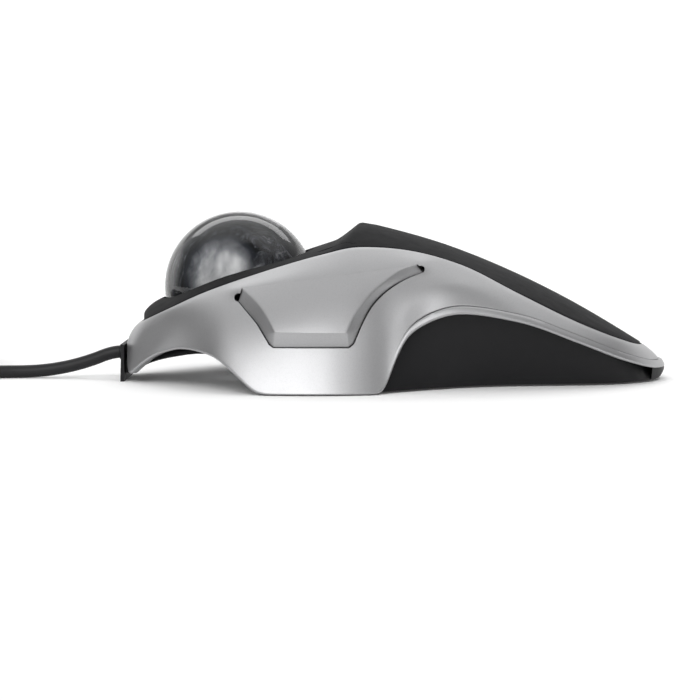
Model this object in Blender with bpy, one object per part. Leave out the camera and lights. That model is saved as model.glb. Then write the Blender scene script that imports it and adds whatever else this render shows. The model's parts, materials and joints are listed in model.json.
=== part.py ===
"""Ambidextrous desk trackball, built as an assembly of separate pieces.

A silver ring-shaped upper housing carries two flexing side buttons and frames a dark palm cover.
A clear-cased pearl ball rides on three small bearings in a cup, watched by an optical sensor.
A black tray closes it from below, and a USB cord leaves the nose and lies coiled beside it.

The frame: X runs from the cord's end (-) to the palm's end (+), Z is up, and the object is
symmetrical about Y = 0.  Lengths below are in millimetres; new_object() turns them into metres.
"""

import math

import bmesh
import bpy
import numpy as np
from mathutils import Matrix, Vector
from mathutils.bvhtree import BVHTree

MM = 0.001

# ---------------------------------------------------------------- driving dimensions

BALL_RADIUS = 20.0
BALL_CENTRE = (-41.0, 0.0, 24.5)
CORE_RADIUS = 12.6
CORE_GAP = 0.5  # wide enough for the facets of two spheres to turn past each other

DECK_POINT = (-61.0, 21.7)  # (x, z) where the deck around the ball starts, on the centreline
DECK_SLOPE = 0.331  # rise of that deck towards the palm
HOLE_RADIUS = 20.5  # the ball's opening in the palm cover
CREST_X = -8.4  # the palm's crest, on the centreline
CREST_BEND = 60.0  # its radius in plan
SCOOP_LENGTH = 7.0  # the deck sweeps up to the crest over this length

HOUSING_RIBS = 88
COVER_SPOKES = 66
SHELL = 2.0  # wall thickness of the outer shells
COVER_THICKNESS = 1.9
SEAM = 0.35  # gap between neighbouring shells
LEDGE_DROP = 2.2  # the cover's seat lies this far below the housing's inner edge
LEDGE_WIDTH = 2.4
LEDGE_THICKNESS = 1.2

BUTTON_PROUD = 2.4  # how far the button's lower lip stands out, along Y
BUTTON_THICKNESS = 2.2
BUTTON_BEVELS = (4.0, 3.0)  # width of its sloping edge, front and rear
BUTTON_SLIT = 0.5
HINGE_SLIT = 0.3
PRESS_DEGREES = 1.3

FLOOR_THICKNESS = 1.8
FEET = [  # name, (length, width), (x, y)
    ("foot_left", (20.0, 8.0), (-19.0, -40.5)),
    ("foot_right", (20.0, 8.0), (-19.0, 40.5)),
    ("foot_rear", (8.0, 24.0), (57.0, 0.0)),
]
FOOT_THICKNESS = 1.3

CORD_DIAMETER = 3.4
CORD_HEIGHT = 7.0  # where the cord leaves the nose
GROMMET_RADIUS = 2.1

# Ribs of the upper housing, from the nose's centre round one side to the palm's centre:
# inner edge (x, y, z), lower rim (x, y, z), and the slope in degrees at each end.
RIBS = [
    ((-66.8, 0.0, 15.7), (-70.6, 0.0, 10.3), 30, 75),
    ((-66.2, 8.5, 15.9), (-70.5, 9.0, 9.8), 30, 75),
    ((-64.5, 14.5, 16.8), (-70.0, 12.6, 1.8), 30, 75),
    ((-58.0, 20.8, 20.0), (-62.0, 22.0, 8.0), 32, 70),
    ((-50.0, 24.4, 23.8), (-53.9, 32.5, 10.4), 35, 66),
    ((-41.0, 26.3, 27.2), (-46.5, 41.2, 9.4), 35, 66),
    ((-35.0, 26.4, 29.2), (-40.0, 46.5, 4.9), 33, 66),
    ((-29.0, 26.3, 31.1), (-33.6, 50.0, 0.2), 30, 67),
    ((-19.0, 26.0, 33.9), (-18.8, 51.1, 0.2), 29, 67),
    ((-9.0, 25.5, 35.9), (-3.9, 48.4, 0.2), 28, 67),
    ((-4.0, 25.3, 35.8), (-0.7, 45.2, 7.3), 28, 66),
    ((3.0, 25.3, 35.1), (3.4, 41.4, 14.7), 28, 65),
    ((16.0, 26.6, 31.7), (16.0, 38.0, 19.6), 28, 64),
    ((31.0, 28.5, 24.3), (31.0, 36.0, 17.4), 28, 65),
    ((45.0, 27.2, 17.4), (46.5, 32.2, 11.9), 28, 65),
    ((56.5, 21.8, 12.6), (60.0, 24.8, 6.6), 28, 68),
    ((63.5, 12.0, 10.1), (69.0, 13.0, 4.0), 28, 68),
    ((66.3, 0.0, 9.4), (72.7, 0.0, 3.6), 28, 68),
]

# Height of the palm's dome along the centreline, (x, z), from its crest to its end.
DOME = [(-8.4, 41.3), (1.7, 39.4), (12.4, 36.3), (28.4, 30.1), (44.5, 22.4), (55.2, 16.4), (66.3, 9.6)]

# The button's edges in side view, (x, z), from the hinge line down to the lower corners.
BUTTON_FRONT = [(-39.3, 23.6), (-36.2, 19.4), (-33.3, 15.0), (-31.2, 11.6)]
BUTTON_REAR = [(6.8, 30.6), (1.6, 28.0), (-3.2, 24.2), (-7.8, 18.4), (-10.9, 11.8)]

# The tray, (x, half width at the floor, underside z); its top edge follows the housing's rim.
TRAY = [
    (-69.0, 11.0, 1.9),
    (-66.3, 13.2, 4.0),
    (-61.0, 19.8, 6.4),
    (-55.4, 27.2, 8.0),
    (-50.5, 32.6, 9.0),
    (-46.5, 37.4, 9.3),
    (-43.5, 40.4, 8.3),
    (-39.0, 43.2, 4.5),
    (-35.6, 45.6, 2.2),
    (-32.4, 46.6, 0.5),
    (-19.0, 47.6, 0.5),
    (-6.0, 45.8, 0.5),
    (-2.6, 44.2, 0.5),
    (0.6, 41.8, 0.5),
    (5.0, 38.4, 0.5),
    (11.3, 34.0, 0.5),
    (22.0, 28.0, 0.5),
    (32.5, 25.2, 0.5),
    (45.0, 23.6, 0.5),
    (56.0, 21.0, 0.5),
    (64.0, 15.6, 0.5),
    (67.6, 11.2, 0.5),
    (68.4, 10.0, 0.55),
    (70.0, 7.4, 0.7),
    (71.6, 3.8, 1.9),
    (72.4, 0.9, 2.7),
]
TRAY_TAIL = 67.8  # beyond this the tray stays below the housing's rim
TRAY_TUCK = 0.5  # height of the tray's top edge above the rim
TRAY_PLAY = 0.8  # extra room between the tray's top edge and the housing's inner skin
TRAY_LIP = 3.8  # lowest height of the tray's top edge

CUP_INNER = 20.6
CUP_OUTER = 22.2
CUP_FLOOR = 7.6  # the cup is open below this height, so that a fingertip can push the ball out
CUP_TOP = 0.6  # its top edge, above the ball's centre, square to the deck
SENSOR_TILT = 30  # degrees below the horizontal, seen from the ball's centre
BEARING_TILT = 35
BEARING_TURNS = (180, 60, -60)
BEARING_RADIUS = 1.25

POSTS = [(-61.2, -13.0), (-61.2, 13.0), (46.0, -13.0), (46.0, 13.0)]
POST_FOOT = [12.0, 12.0, 7.5, 7.5]  # height of the joint between each cover post and its tray boss
POST_RADIUS = 2.6
BOSS_RADIUS = 2.8
SCREW_RADIUS = 1.1
SCREW_HEAD = 1.9
SCREW_HEAD_HEIGHT = 1.2
BORE = SCREW_RADIUS + 0.3

BOARD_TOP = 10.6
BOARD_THICKNESS = 1.6
BOARD_SCREWS = [(36.0, -10.0), (36.0, 10.0)]
CUP_SCREWS = [(-36.0, -25.0), (-36.0, 25.0)]
LUG_TOP = 12.4
LUG_THICKNESS = 2.0

SWITCH_X = -18.0
SWITCH_Z = 13.8
PLUNGER_TIP = 37.0
PRESS_GAP = 0.3

COIL_CENTRE = (-141.5, 14.0)
COIL_INNER = 10.7
COIL_OUTER = 27.8
COIL_HEIGHT = 10.3
PLUG_BODY = (18.0, 15.4, 7.8)
PLUG_SHELL = (18.6, 12.0, 4.5)

CORD_ROUTE = [  # from the nose down to the desk and on to the coil
    (-73.8, 0.0, 7.0),
    (-76.5, 0.0, 6.4),
    (-80.0, 0.0, 5.1),
    (-84.5, 0.0, 3.7),
    (-89.0, 0.0, 2.7),
    (-94.0, 0.0, 2.0),
    (-99.0, -0.2, 1.75),
    (-104.5, -1.0, 1.75),
    (-110.0, -2.5, 1.75),
    (-115.0, -4.2, 1.75),
    (-119.4, -5.8, 1.75),
]

INNER_ROUTE = [  # from the grommet past the ball's cup to the plug on the main board
    (-65.7, 0.0, 7.1),
    (-64.8, -1.4, 7.9),
    (-62.6, -4.6, 9.5),
    (-59.1, -8.8, 10.7),
    (-56.1, -12.8, 11.4),
    (-52.0, -18.6, 12.1),
    (-46.0, -24.6, 12.7),
    (-41.0, -28.6, 12.8),
    (-36.0, -30.6, 12.9),
    (-30.0, -28.6, 13.0),
    (-22.0, -22.6, 13.1),
    (-14.0, -16.0, 13.1),
    (-8.4, -12.4, 13.1),
    (-4.95, -12.0, 13.1),
]

MATERIALS = {  # name: (colour, roughness, metallic)
    "silver_paint": ((0.52, 0.52, 0.53), 0.34, 0.75),
    "dark_plastic": ((0.055, 0.055, 0.058), 0.55, 0.0),
    "black_plastic": ((0.018, 0.018, 0.020), 0.45, 0.0),
    "clear_resin": ((0.80, 0.82, 0.84), 0.05, 0.0),
    "pearl_resin": ((0.12, 0.125, 0.14), 0.20, 0.2),
    "bearing_steel": ((0.70, 0.70, 0.72), 0.12, 1.0),
    "circuit_board": ((0.03, 0.20, 0.09), 0.50, 0.0),
    "chip_plastic": ((0.02, 0.02, 0.02), 0.60, 0.0),
    "tin_plate": ((0.65, 0.65, 0.66), 0.25, 1.0),
    "lens_plastic": ((0.85, 0.85, 0.87), 0.05, 0.0),
    "led_red": ((0.70, 0.05, 0.04), 0.20, 0.0),
    "connector_white": ((0.80, 0.79, 0.74), 0.50, 0.0),
    "capacitor_sleeve": ((0.04, 0.05, 0.16), 0.35, 0.0),
    "switch_black": ((0.025, 0.025, 0.028), 0.45, 0.0),
    "switch_red": ((0.55, 0.06, 0.05), 0.40, 0.0),
    "cord_black": ((0.02, 0.02, 0.021), 0.50, 0.0),
    "foot_rubber": ((0.03, 0.03, 0.03), 0.85, 0.0),
    "screw_steel": ((0.45, 0.45, 0.47), 0.30, 1.0),
}


# ---------------------------------------------------------------- small tools


def clear_scene():
    for obj in list(bpy.data.objects):
        bpy.data.objects.remove(obj, do_unlink=True)


def material(name):
    found = bpy.data.materials.get(name)
    if found:
        return found
    colour, roughness, metallic = MATERIALS[name]
    made = bpy.data.materials.new(name)
    made.use_nodes = True
    shader = made.node_tree.nodes["Principled BSDF"]
    shader.inputs["Base Color"].default_value = (*colour, 1.0)
    shader.inputs["Roughness"].default_value = roughness
    shader.inputs["Metallic"].default_value = metallic
    return made


def link(name, data, finish):
    obj = bpy.data.objects.new(name, data)
    data.materials.append(material(finish))
    bpy.context.scene.collection.objects.link(obj)
    return obj


def new_object(name, points, faces, finish, sharp=30):
    """A mesh object from points in millimetres."""
    mesh = bpy.data.meshes.new(name)
    mesh.from_pydata([tuple(MM * c for c in p) for p in points], [], faces)
    bm = bmesh.new()
    bm.from_mesh(mesh)
    bmesh.ops.recalc_face_normals(bm, faces=bm.faces)
    bm.to_mesh(mesh)
    bm.free()
    mesh.shade_smooth()
    mesh.set_sharp_from_angle(angle=math.radians(sharp))
    return link(name, mesh, finish)


def hide_tool(tool):
    tool.hide_render = True
    tool.display_type = "WIRE"


def boolean(target, tool, operation):
    modifier = target.modifiers.new(tool.name, "BOOLEAN")
    modifier.operation = operation
    modifier.solver = "EXACT"
    modifier.object = tool
    hide_tool(tool)
    return target


def cut(target, tool):
    return boolean(target, tool, "DIFFERENCE")


def join(target, tool):
    return boolean(target, tool, "UNION")


def place(obj, centre, turn=None):
    obj.matrix_world = Matrix.Translation(Vector(centre) * MM) @ (turn or Matrix.Identity(4))
    return obj


def along(direction):
    """The rotation that carries +Z to a direction."""
    return Vector(direction).normalized().to_track_quat("Z", "Y").to_matrix().to_4x4()


def box(name, size, centre, finish, turn=None, bevel=0.0):
    """A box, with its upright edges rounded by bevel."""
    bm = bmesh.new()
    bmesh.ops.create_cube(bm, size=1.0, matrix=Matrix.Diagonal([*[s * MM for s in size], 1.0]))
    if bevel:
        upright = [e for e in bm.edges if abs(e.verts[0].co.z - e.verts[1].co.z) > 1e-7]
        bmesh.ops.bevel(bm, geom=upright, offset=bevel * MM, segments=3, affect="EDGES", profile=0.5)
    mesh = bpy.data.meshes.new(name)
    bm.to_mesh(mesh)
    bm.free()
    return place(link(name, mesh, finish), centre, turn)


def cylinder(name, radius, height, centre, finish, turn=None, sides=20):
    """A cylinder along Z, centred."""
    bm = bmesh.new()
    bmesh.ops.create_cone(
        bm, cap_ends=True, segments=sides, radius1=radius * MM, radius2=radius * MM, depth=height * MM
    )
    mesh = bpy.data.meshes.new(name)
    bm.to_mesh(mesh)
    bm.free()
    mesh.shade_smooth()
    mesh.set_sharp_from_angle(angle=math.radians(40))
    return place(link(name, mesh, finish), centre, turn)


def turned(name, profile, centre, finish, turn=None, sides=24):
    """A closed profile of (radius, z) turned about Z; a radius of 0 lies on the axis."""
    points, rings = [], []
    for radius, z in profile:
        if radius == 0:
            rings.append([len(points)])
            points.append((0.0, 0.0, z))
            continue
        rings.append(list(range(len(points), len(points) + sides)))
        for k in range(sides):
            angle = 2 * math.pi * k / sides
            points.append((radius * math.cos(angle), radius * math.sin(angle), z))
    faces = []
    for a, b in zip(rings, rings[1:] + rings[:1]):
        if len(a) == 1 and len(b) == 1:
            continue
        for k in range(sides):
            n = (k + 1) % sides
            corners = [a[k % len(a)], a[n % len(a)], b[n % len(b)], b[k % len(b)]]
            faces.append(list(dict.fromkeys(corners)))
    return place(new_object(name, points, faces, finish), centre, turn)


def prism(name, outline, low, high, finish, axis="z"):
    """An outline of (a, b) points extruded from low to high: along z as (x, y), or along y as (x, z)."""
    def lift(a, b, c):
        return (a, b, c) if axis == "z" else (a, c, b)

    count = len(outline)
    points = [lift(a, b, low) for a, b in outline] + [lift(a, b, high) for a, b in outline]
    faces = [list(range(count)), list(range(count, 2 * count))]
    faces += [[k, (k + 1) % count, count + (k + 1) % count, count + k] for k in range(count)]
    return new_object(name, points, faces, finish)


def loft(name, sections, finish, closed_ends=True, sharp=30):
    """Sections are closed loops of equally many points, joined in order, and round if the ends stay open."""
    count = len(sections[0])
    points = [p for section in sections for p in section]
    faces = []
    steps = len(sections) - 1 if closed_ends else len(sections)
    for i in range(steps):
        a, b = i * count, (i + 1) % len(sections) * count
        for k in range(count):
            n = (k + 1) % count
            faces.append([a + k, a + n, b + n, b + k])
    if closed_ends:
        faces += [list(range(count)), list(range(len(points) - count, len(points)))]
    return new_object(name, points, faces, finish, sharp)


def eased(knots, values, at):
    """A monotone cubic through values at knots: it never overshoots them."""
    knots, values = np.asarray(knots, float), np.asarray(values, float)
    values = values.reshape(len(knots), -1)
    step = np.diff(knots)[:, None]
    rise = np.diff(values, axis=0) / step
    slope = np.zeros_like(values)
    slope[0], slope[-1] = rise[0], rise[-1]
    before, after = rise[:-1], rise[1:]
    same = before * after > 0
    weight_a, weight_b = 2 * step[1:] + step[:-1], step[1:] + 2 * step[:-1]
    with np.errstate(divide="ignore", invalid="ignore"):
        mean = (weight_a + weight_b) / (weight_a / before + weight_b / after)
    slope[1:-1] = np.where(same, mean, 0.0)
    at = np.clip(np.atleast_1d(at), knots[0], knots[-1])
    i = np.clip(np.searchsorted(knots, at, side="right") - 1, 0, len(knots) - 2)
    h = step[i]
    t = ((at - knots[i]) / h[:, 0])[:, None]
    return (
        (1 + 2 * t) * (1 - t) ** 2 * values[i]
        + t * (1 - t) ** 2 * h * slope[i]
        + t**2 * (3 - 2 * t) * values[i + 1]
        + t**2 * (t - 1) * h * slope[i + 1]
    )


def smoothstep(x):
    x = np.clip(x, 0.0, 1.0)
    return x * x * (3 - 2 * x)


# ---------------------------------------------------------------- the housing's surface


def rib_loop(count, fine=720, passes=24):
    """The ribs as closed loops: rows of (inner edge xyz, lower rim xyz, two slopes), closer at the bends."""
    half = np.array([[*inner, *rim, top, low] for inner, rim, top, low in RIBS], float)
    half[:, [1, 4]] *= -1
    other = half[-2:0:-1].copy()
    other[:, [1, 4]] *= -1
    loop = np.vstack([half, other])
    wrapped = np.vstack([loop[-3:], loop, loop[:4]])
    middle = (wrapped[:, 0:3] + wrapped[:, 3:6]) / 2
    knots = np.concatenate([[0], np.cumsum(np.linalg.norm(np.diff(middle, axis=0), axis=1))])
    start, end = knots[3], knots[3 + len(loop)]
    rows = eased(knots, wrapped, np.linspace(start, end, fine, endpoint=False))
    for _ in range(passes):
        rows = (np.roll(rows, 1, 0) + 2 * rows + np.roll(rows, -1, 0)) / 4
    rim = rows[:, 3:6]
    bend = np.linalg.norm(np.roll(rim, 1, 0) - 2 * rim + np.roll(rim, -1, 0), axis=1)
    share = np.cumsum(1 + 1.5 * np.minimum(bend / bend.mean(), 3.0))
    picks = np.searchsorted(share, np.arange(count // 2) / (count // 2) * share[fine // 2 - 1])
    picks = np.unique(np.concatenate([picks, [0, fine // 2]]))
    mirror = [fine - k for k in picks[::-1] if 0 < k < fine // 2]
    return rows[np.concatenate([picks, mirror]).astype(int)]


def housing_surface(count, rows):
    """Outer skin of the housing: an array [around, down, xyz] from the inner edge to the lower rim."""
    ribs = rib_loop(count)
    inner, rim = ribs[:, 0:3], ribs[:, 3:6]
    top, low = np.radians(ribs[:, 6]), np.radians(ribs[:, 7])
    out = (rim - inner)[:, :2]
    out /= np.linalg.norm(out, axis=1)[:, None]
    reach = 0.36 * np.linalg.norm(rim - inner, axis=1)[:, None]

    def heading(slope):
        return np.column_stack([out * np.cos(slope)[:, None], -np.sin(slope)])

    first, second = inner + reach * heading(top), rim - reach * heading(low)
    t = np.linspace(0, 1, rows + 1)[None, :, None]
    inner, first, second, rim = (p[:, None, :] for p in (inner, first, second, rim))
    return (1 - t) ** 3 * inner + 3 * t * (1 - t) ** 2 * first + 3 * t**2 * (1 - t) * second + t**3 * rim


def outward_normals(skin):
    around = np.roll(skin, -1, 0) - np.roll(skin, 1, 0)
    down = np.gradient(skin, axis=1)
    normal = np.cross(down, around)
    normal /= np.linalg.norm(normal, axis=2)[:, :, None]
    return normal * np.sign(normal[:, :, 2].mean())


def sunk(skin, depth):
    """The skin moved inwards: straight down along its inner edge and level along its lower rim."""
    normal = outward_normals(skin)
    share = np.linspace(0, 1, skin.shape[1])[None, :, None]
    upright = np.array([0.0, 0.0, 1.0])
    level = normal * [1, 1, 0]
    level /= np.linalg.norm(level, axis=2)[:, :, None]
    near_top, near_rim = np.clip(1 - 4 * share, 0, 1), np.clip(4 * share - 3, 0, 1)
    push = normal * (1 - near_top - near_rim) + upright * near_top + level * near_rim
    push /= np.linalg.norm(push, axis=2)[:, :, None]
    return skin - depth * push


def skin_tree(skin):
    """A skin to be looked up along Y."""
    around, down = skin.shape[:2]
    faces = [
        [i * down + j, (i + 1) % around * down + j, (i + 1) % around * down + j + 1, i * down + j + 1]
        for i in range(around)
        for j in range(down - 1)
    ]
    return BVHTree.FromPolygons([Vector(p) for p in skin.reshape(-1, 3)], faces)


def skin_y(tree, x, z):
    """Distance of the housing's skin from the middle plane at a place in side view."""
    hit = tree.ray_cast(Vector((x, -90.0, z)), Vector((0, 1, 0)))[0]
    return -hit.y if hit else 0.0


# ---------------------------------------------------------------- outer shells


def upper_housing():
    """The silver ring: outer skin, inner skin, and a ledge that the palm cover sits on."""
    skin = housing_surface(HOUSING_RIBS, 6)
    ribs = rib_loop(HOUSING_RIBS)
    inward = (ribs[:, 0:3] - ribs[:, 3:6]) * [1, 1, 0]
    inward /= np.linalg.norm(inward, axis=1)[:, None]
    sections = []
    for outer, inner, lean in zip(skin, sunk(skin, SHELL), inward):
        seat = outer[0] - [0, 0, LEDGE_DROP]
        lip = seat + LEDGE_WIDTH * lean
        under = lip - [0, 0, LEDGE_THICKNESS]
        sections.append([*outer, *inner[:0:-1], under, lip, seat])
    housing = loft("upper_housing", sections, "silver_paint", closed_ends=False)
    for side, name in ((-1, "left"), (1, "right")):
        low, high = sorted((side * 24.0, side * 70.0))
        cut(housing, prism(f"{name}_opening", button_outline(0.0), low, high, "silver_paint", axis="y"))
    for k, (x, y) in enumerate(POSTS[:2]):
        cut(housing, cylinder(f"post_notch_{k + 1}", POST_RADIUS + 0.4, 7.0, (x, y, 12.6), "silver_paint"))
    return housing


def edge_curve(points, shares):
    points = np.array(points, float)
    knots = np.concatenate([[0], np.cumsum(np.linalg.norm(np.diff(points, axis=0), axis=1))])
    return eased(knots, points, np.array(shares) * knots[-1])


def button_edges(inset, rows=9):
    """Front and rear edges of the button in side view, (x, z), drawn in from the opening by inset."""
    front = edge_curve(BUTTON_FRONT, [*np.linspace(0, 0.68, rows - 1), 1.0])
    rear = edge_curve(BUTTON_REAR, [*np.linspace(0, 0.84, rows - 1), 1.0])
    if inset:
        front[:, 0] += 1.2 * inset
        rear[:, 0] -= 1.3 * inset
        front[-1, 1] += inset
        rear[-1, 1] += inset
        front[0, 1] -= HINGE_SLIT
        rear[0, 1] -= HINGE_SLIT
    return front, rear


def button_outline(inset):
    front, rear = button_edges(inset)
    return [tuple(p) for p in front] + [tuple(p) for p in rear[::-1]]


def button(name, side, tree):
    """A flap that leaves the housing's skin at the hinge line and stands proud inside a bevelled edge."""
    front, rear = button_edges(BUTTON_SLIT)
    down, across = len(front), 12
    outer, inner = [], []
    for j in range(down):
        fall = j / (down - 2)
        width = float(np.linalg.norm(rear[j] - front[j]))
        slope_in, slope_out = (bevel / width for bevel in BUTTON_BEVELS)
        shares = [0.0, *np.linspace(slope_in, 1 - slope_out, across - 2), 1.0]
        for i, share in enumerate(shares):
            edge = i in (0, across - 1) or j == down - 1
            lift = 0.0 if edge else BUTTON_PROUD * (1 - (1 - min(fall, 1.0)) ** 2)
            x, z = front[j] + (rear[j] - front[j]) * share
            y = skin_y(tree, x, z)
            outer.append((x, side * (y + lift), z))
            inner.append((x, side * (y - BUTTON_THICKNESS), z))
    offset = len(outer)
    faces = []
    for j in range(down - 1):
        for i in range(across - 1):
            k = j * across + i
            quad = [k, k + 1, k + across + 1, k + across]
            faces += [quad, [offset + v for v in quad]]
    rim = [j * across for j in range(down)]
    rim += [(down - 1) * across + i for i in range(1, across)]
    rim += [j * across + across - 1 for j in range(down - 2, -1, -1)]
    rim += list(range(across - 2, 0, -1))
    for a, b in zip(rim, rim[1:] + rim[:1]):
        faces.append([a, b, offset + b, offset + a])
    flap = new_object(name, outer + inner, faces, "silver_paint")
    low, high = PLUNGER_TIP + PRESS_GAP, skin_y(tree, SWITCH_X, SWITCH_Z) - 1.0
    middle = (SWITCH_X, side * (low + high) / 2, SWITCH_Z)
    return join(flap, box(f"{name}_nub", (5.0, high - low, 2.4), middle, "silver_paint"))


def inner_edge_line():
    """The housing's inner edge on one side, rows of (x, half width, z) in order of x."""
    edge = rib_loop(240)[:, 0:3]
    edge = edge[edge[:, 1] <= 1e-6] * [1, -1, 1]
    return edge[np.argsort(edge[:, 0])]


def crest_x(y):
    return CREST_X - y * y / (2 * CREST_BEND)


def cover_height(x, y, edge):
    """Top of the palm cover at a plan place."""
    half_width, edge_z = (float(np.interp(x, edge[:, 0], edge[:, k])) for k in (1, 2))
    crown = 1 - min(abs(y) / max(half_width, 1e-6), 1.0) ** 2.2
    nose_x = DECK_POINT[0]
    nose_round = math.sqrt(max(0.0, 1 - max(0.0, (nose_x - x) / 6.2) ** 2))
    deck = edge_z + (DECK_POINT[1] + DECK_SLOPE * (x - nose_x) - edge_z) * nose_round * crown
    dome = float(eased([p[0] for p in DOME], [p[1] for p in DOME], x)[0, 0])
    palm = edge_z + (dome - edge_z) * crown
    sweep = min(max(1 - (crest_x(y) - x) / SCOOP_LENGTH, 0.0), 1.0)
    return deck + max(palm - deck, 0.0) * sweep**2 if sweep < 1 else palm


def crest_share(hole, out):
    """How far along a spoke the crest lies, or 1 if the spoke misses it."""
    for s in np.linspace(0, 1, 201):
        x, y = hole + out * s
        if x >= crest_x(y):
            return s
    return 1.0


def cover_grid(count, rings, crest_ring=4):
    """The cover's top skin, [around, out, xyz], from the ball's opening to the housing's inner edge."""
    ribs = rib_loop(count)
    inward = (ribs[:, 0:3] - ribs[:, 3:6]) * [1, 1, 0]
    inward /= np.linalg.norm(inward, axis=1)[:, None]
    rim = ribs[:, 0:3] + SEAM * inward
    line = inner_edge_line()
    bearing = np.unwrap(np.arctan2(rim[:, 1], rim[:, 0] - BALL_CENTRE[0]))
    around = np.sign(bearing[1] - bearing[0]) * 2 * math.pi
    even = bearing[0] + around * np.arange(len(rim)) / len(rim)
    turn = 0.6 * bearing + 0.4 * even
    grid = np.zeros((len(rim), rings + 1, 3))
    for i, angle in enumerate(turn):
        hole = np.array([BALL_CENTRE[0] + HOLE_RADIUS * math.cos(angle), HOLE_RADIUS * math.sin(angle)])
        out = rim[i, :2] - hole
        crest = crest_share(hole, out)
        for j in range(rings + 1):
            s = j / rings
            if crest < 0.75:
                mark = crest_ring / rings
                s = s / mark * crest if s < mark else crest + (s - mark) / (1 - mark) * (1 - crest)
            x, y = hole + out * s
            grid[i, j] = (x, y, cover_height(x, y, line))
    return grid


def top_cover():
    """The dark palm cover with the ball's opening and four screw posts."""
    top = cover_grid(COVER_SPOKES, 8)
    sections = [[*upper, *(upper - [0, 0, COVER_THICKNESS])[::-1]] for upper in top]
    cover = loft("top_cover", sections, "dark_plastic", closed_ends=False)
    line = inner_edge_line()
    for k, ((x, y), foot) in enumerate(zip(POSTS, POST_FOOT)):
        edge = [(x + a * POST_RADIUS, y + b * POST_RADIUS) for a in (-0.7, 0.7) for b in (-0.7, 0.7)]
        edge += [(x + POST_RADIUS, y), (x, y + math.copysign(POST_RADIUS, y))]
        roof = min(cover_height(*place, line) for place in edge) - 0.3
        middle = (x, y, (roof + foot) / 2)
        post = cylinder(f"cover_post_{k + 1}", POST_RADIUS, roof - foot, middle, "dark_plastic", sides=16)
        join(cover, post)
        depth = 8.0 if x > 0 else 3.6
        pilot = (x, y, foot - 1 + (depth + 1) / 2)
        cut(cover, cylinder(f"cover_pilot_{k + 1}", BORE, depth + 1, pilot, "dark_plastic", sides=12))
    return cover


# ---------------------------------------------------------------- tray


def tray_rows():
    """(x, half width at the floor, underside z) at each station and halfway between."""
    stations = [row[0] for row in TRAY]
    between = [(a + b) / 2 for a, b in zip(stations, stations[1:])]
    at = sorted(stations + between)
    return np.column_stack([at, eased(stations, [row[1:] for row in TRAY], at)])


def tray_solid(name, tree, space=False):
    """The tray's outer body, or the space inside it."""
    rim = rib_loop(240)[:, 3:6]
    rim = rim[rim[:, 1] <= 1e-6]
    rim = rim[np.argsort(rim[:, 0])]
    inset = SHELL if space else 0.0
    sections = []
    for x, foot, under in tray_rows():
        rim_z = float(np.interp(x, rim[:, 0], rim[:, 2]))
        top_z = max(rim_z + TRAY_TUCK, TRAY_LIP, under + 0.8)
        while skin_y(tree, x, top_z) == 0.0 and top_z < rim_z + 3.0:
            top_z += 0.25
        wide = max(skin_y(tree, x, top_z), 0.5 * foot)
        if x > TRAY_TAIL and space:
            break
        if x > TRAY_TAIL:
            top_z, wide = rim_z - SEAM, foot
        low = under + (FLOOR_THICKNESS if space else 0.0)
        high = top_z + (4.0 if space else 0.0)
        wide, foot = max(wide - inset, 0.6), max(foot - inset, 0.5)
        half = [(wide, high), (foot, low), (0.5 * foot, low)]
        place_x = x * (1 - inset / 70.0)
        sections.append([(place_x, -y, z) for y, z in half] + [(place_x, y, z) for y, z in half[::-1]])
    return loft(name, sections, "black_plastic")


def underside(x):
    rows = tray_rows()
    return float(np.interp(x, rows[:, 0], rows[:, 2]))


def boss(tray, name, x, y, top, bore_depth):
    low = underside(x) + FLOOR_THICKNESS / 2
    join(tray, cylinder(name, BOSS_RADIUS, top - low, (x, y, (top + low) / 2), "black_plastic", sides=16))
    middle = (x, y, top + 1 - bore_depth / 2)
    return cut(tray, cylinder(f"{name}_bore", BORE, bore_depth, middle, "black_plastic", sides=12))


def bottom_housing(tree):
    """The black tray: arched belly, a nose plate for the cord, and bosses for the screws."""
    tray = tray_solid("bottom_housing", tree)
    cut(tray, tray_solid("tray_space", tree, space=True))
    join(tray, box("nose_block", (3.2, 14.0, 3.0), (-69.9, 0.0, 3.5), "black_plastic"))
    plate = [(-72.0, 0.0), (-70.95, 0.0), (-70.95, 9.6), (-71.7, 9.9)]
    join(tray, prism("nose_plate", plate, -11.2, 11.2, "black_plastic", axis="y"))
    room = CUP_OUTER + SEAM
    angles = np.radians(np.linspace(4, 100, 13))
    arc = [(room * math.sin(a), -room * math.cos(a)) for a in angles]
    arc = [(0, arc[0][1]), *arc, (0, arc[-1][1])]
    cut(tray, turned("cup_room", arc, BALL_CENTRE, "black_plastic", sides=32))
    for k, ((x, y), foot) in enumerate(zip(POSTS, POST_FOOT)):
        boss(tray, f"tray_boss_{k + 1}", x, y, foot - 0.3, 30.0)
        seat = screw_seat(x)
        middle = (x, y, seat - 4.0)
        cut(tray, cylinder(f"well_{k + 1}", SCREW_HEAD + 0.3, 8.0, middle, "black_plastic", sides=16))
    for k, (x, y) in enumerate(BOARD_SCREWS):
        boss(tray, f"board_boss_{k + 1}", x, y, BOARD_TOP - BOARD_THICKNESS - 0.3, 6.6)
    for k, (x, y) in enumerate(CUP_SCREWS):
        boss(tray, f"cup_boss_{k + 1}", x, y, LUG_TOP - LUG_THICKNESS - 0.3, 5.6)
    for name, size, centre in FEET:
        cut(tray, box(f"{name}_recess", [size[0] + 0.6, size[1] + 0.6, 2.6], (*centre, 0.3), "black_plastic"))
    middle = (-70.0, 0.0, CORD_HEIGHT)
    hole = cylinder("cord_hole", GROMMET_RADIUS + 0.3, 14.0, middle, "black_plastic", along((1, 0, 0)), 16)
    return cut(tray, hole)


def screw_seat(x):
    return underside(x) + 1.6


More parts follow.
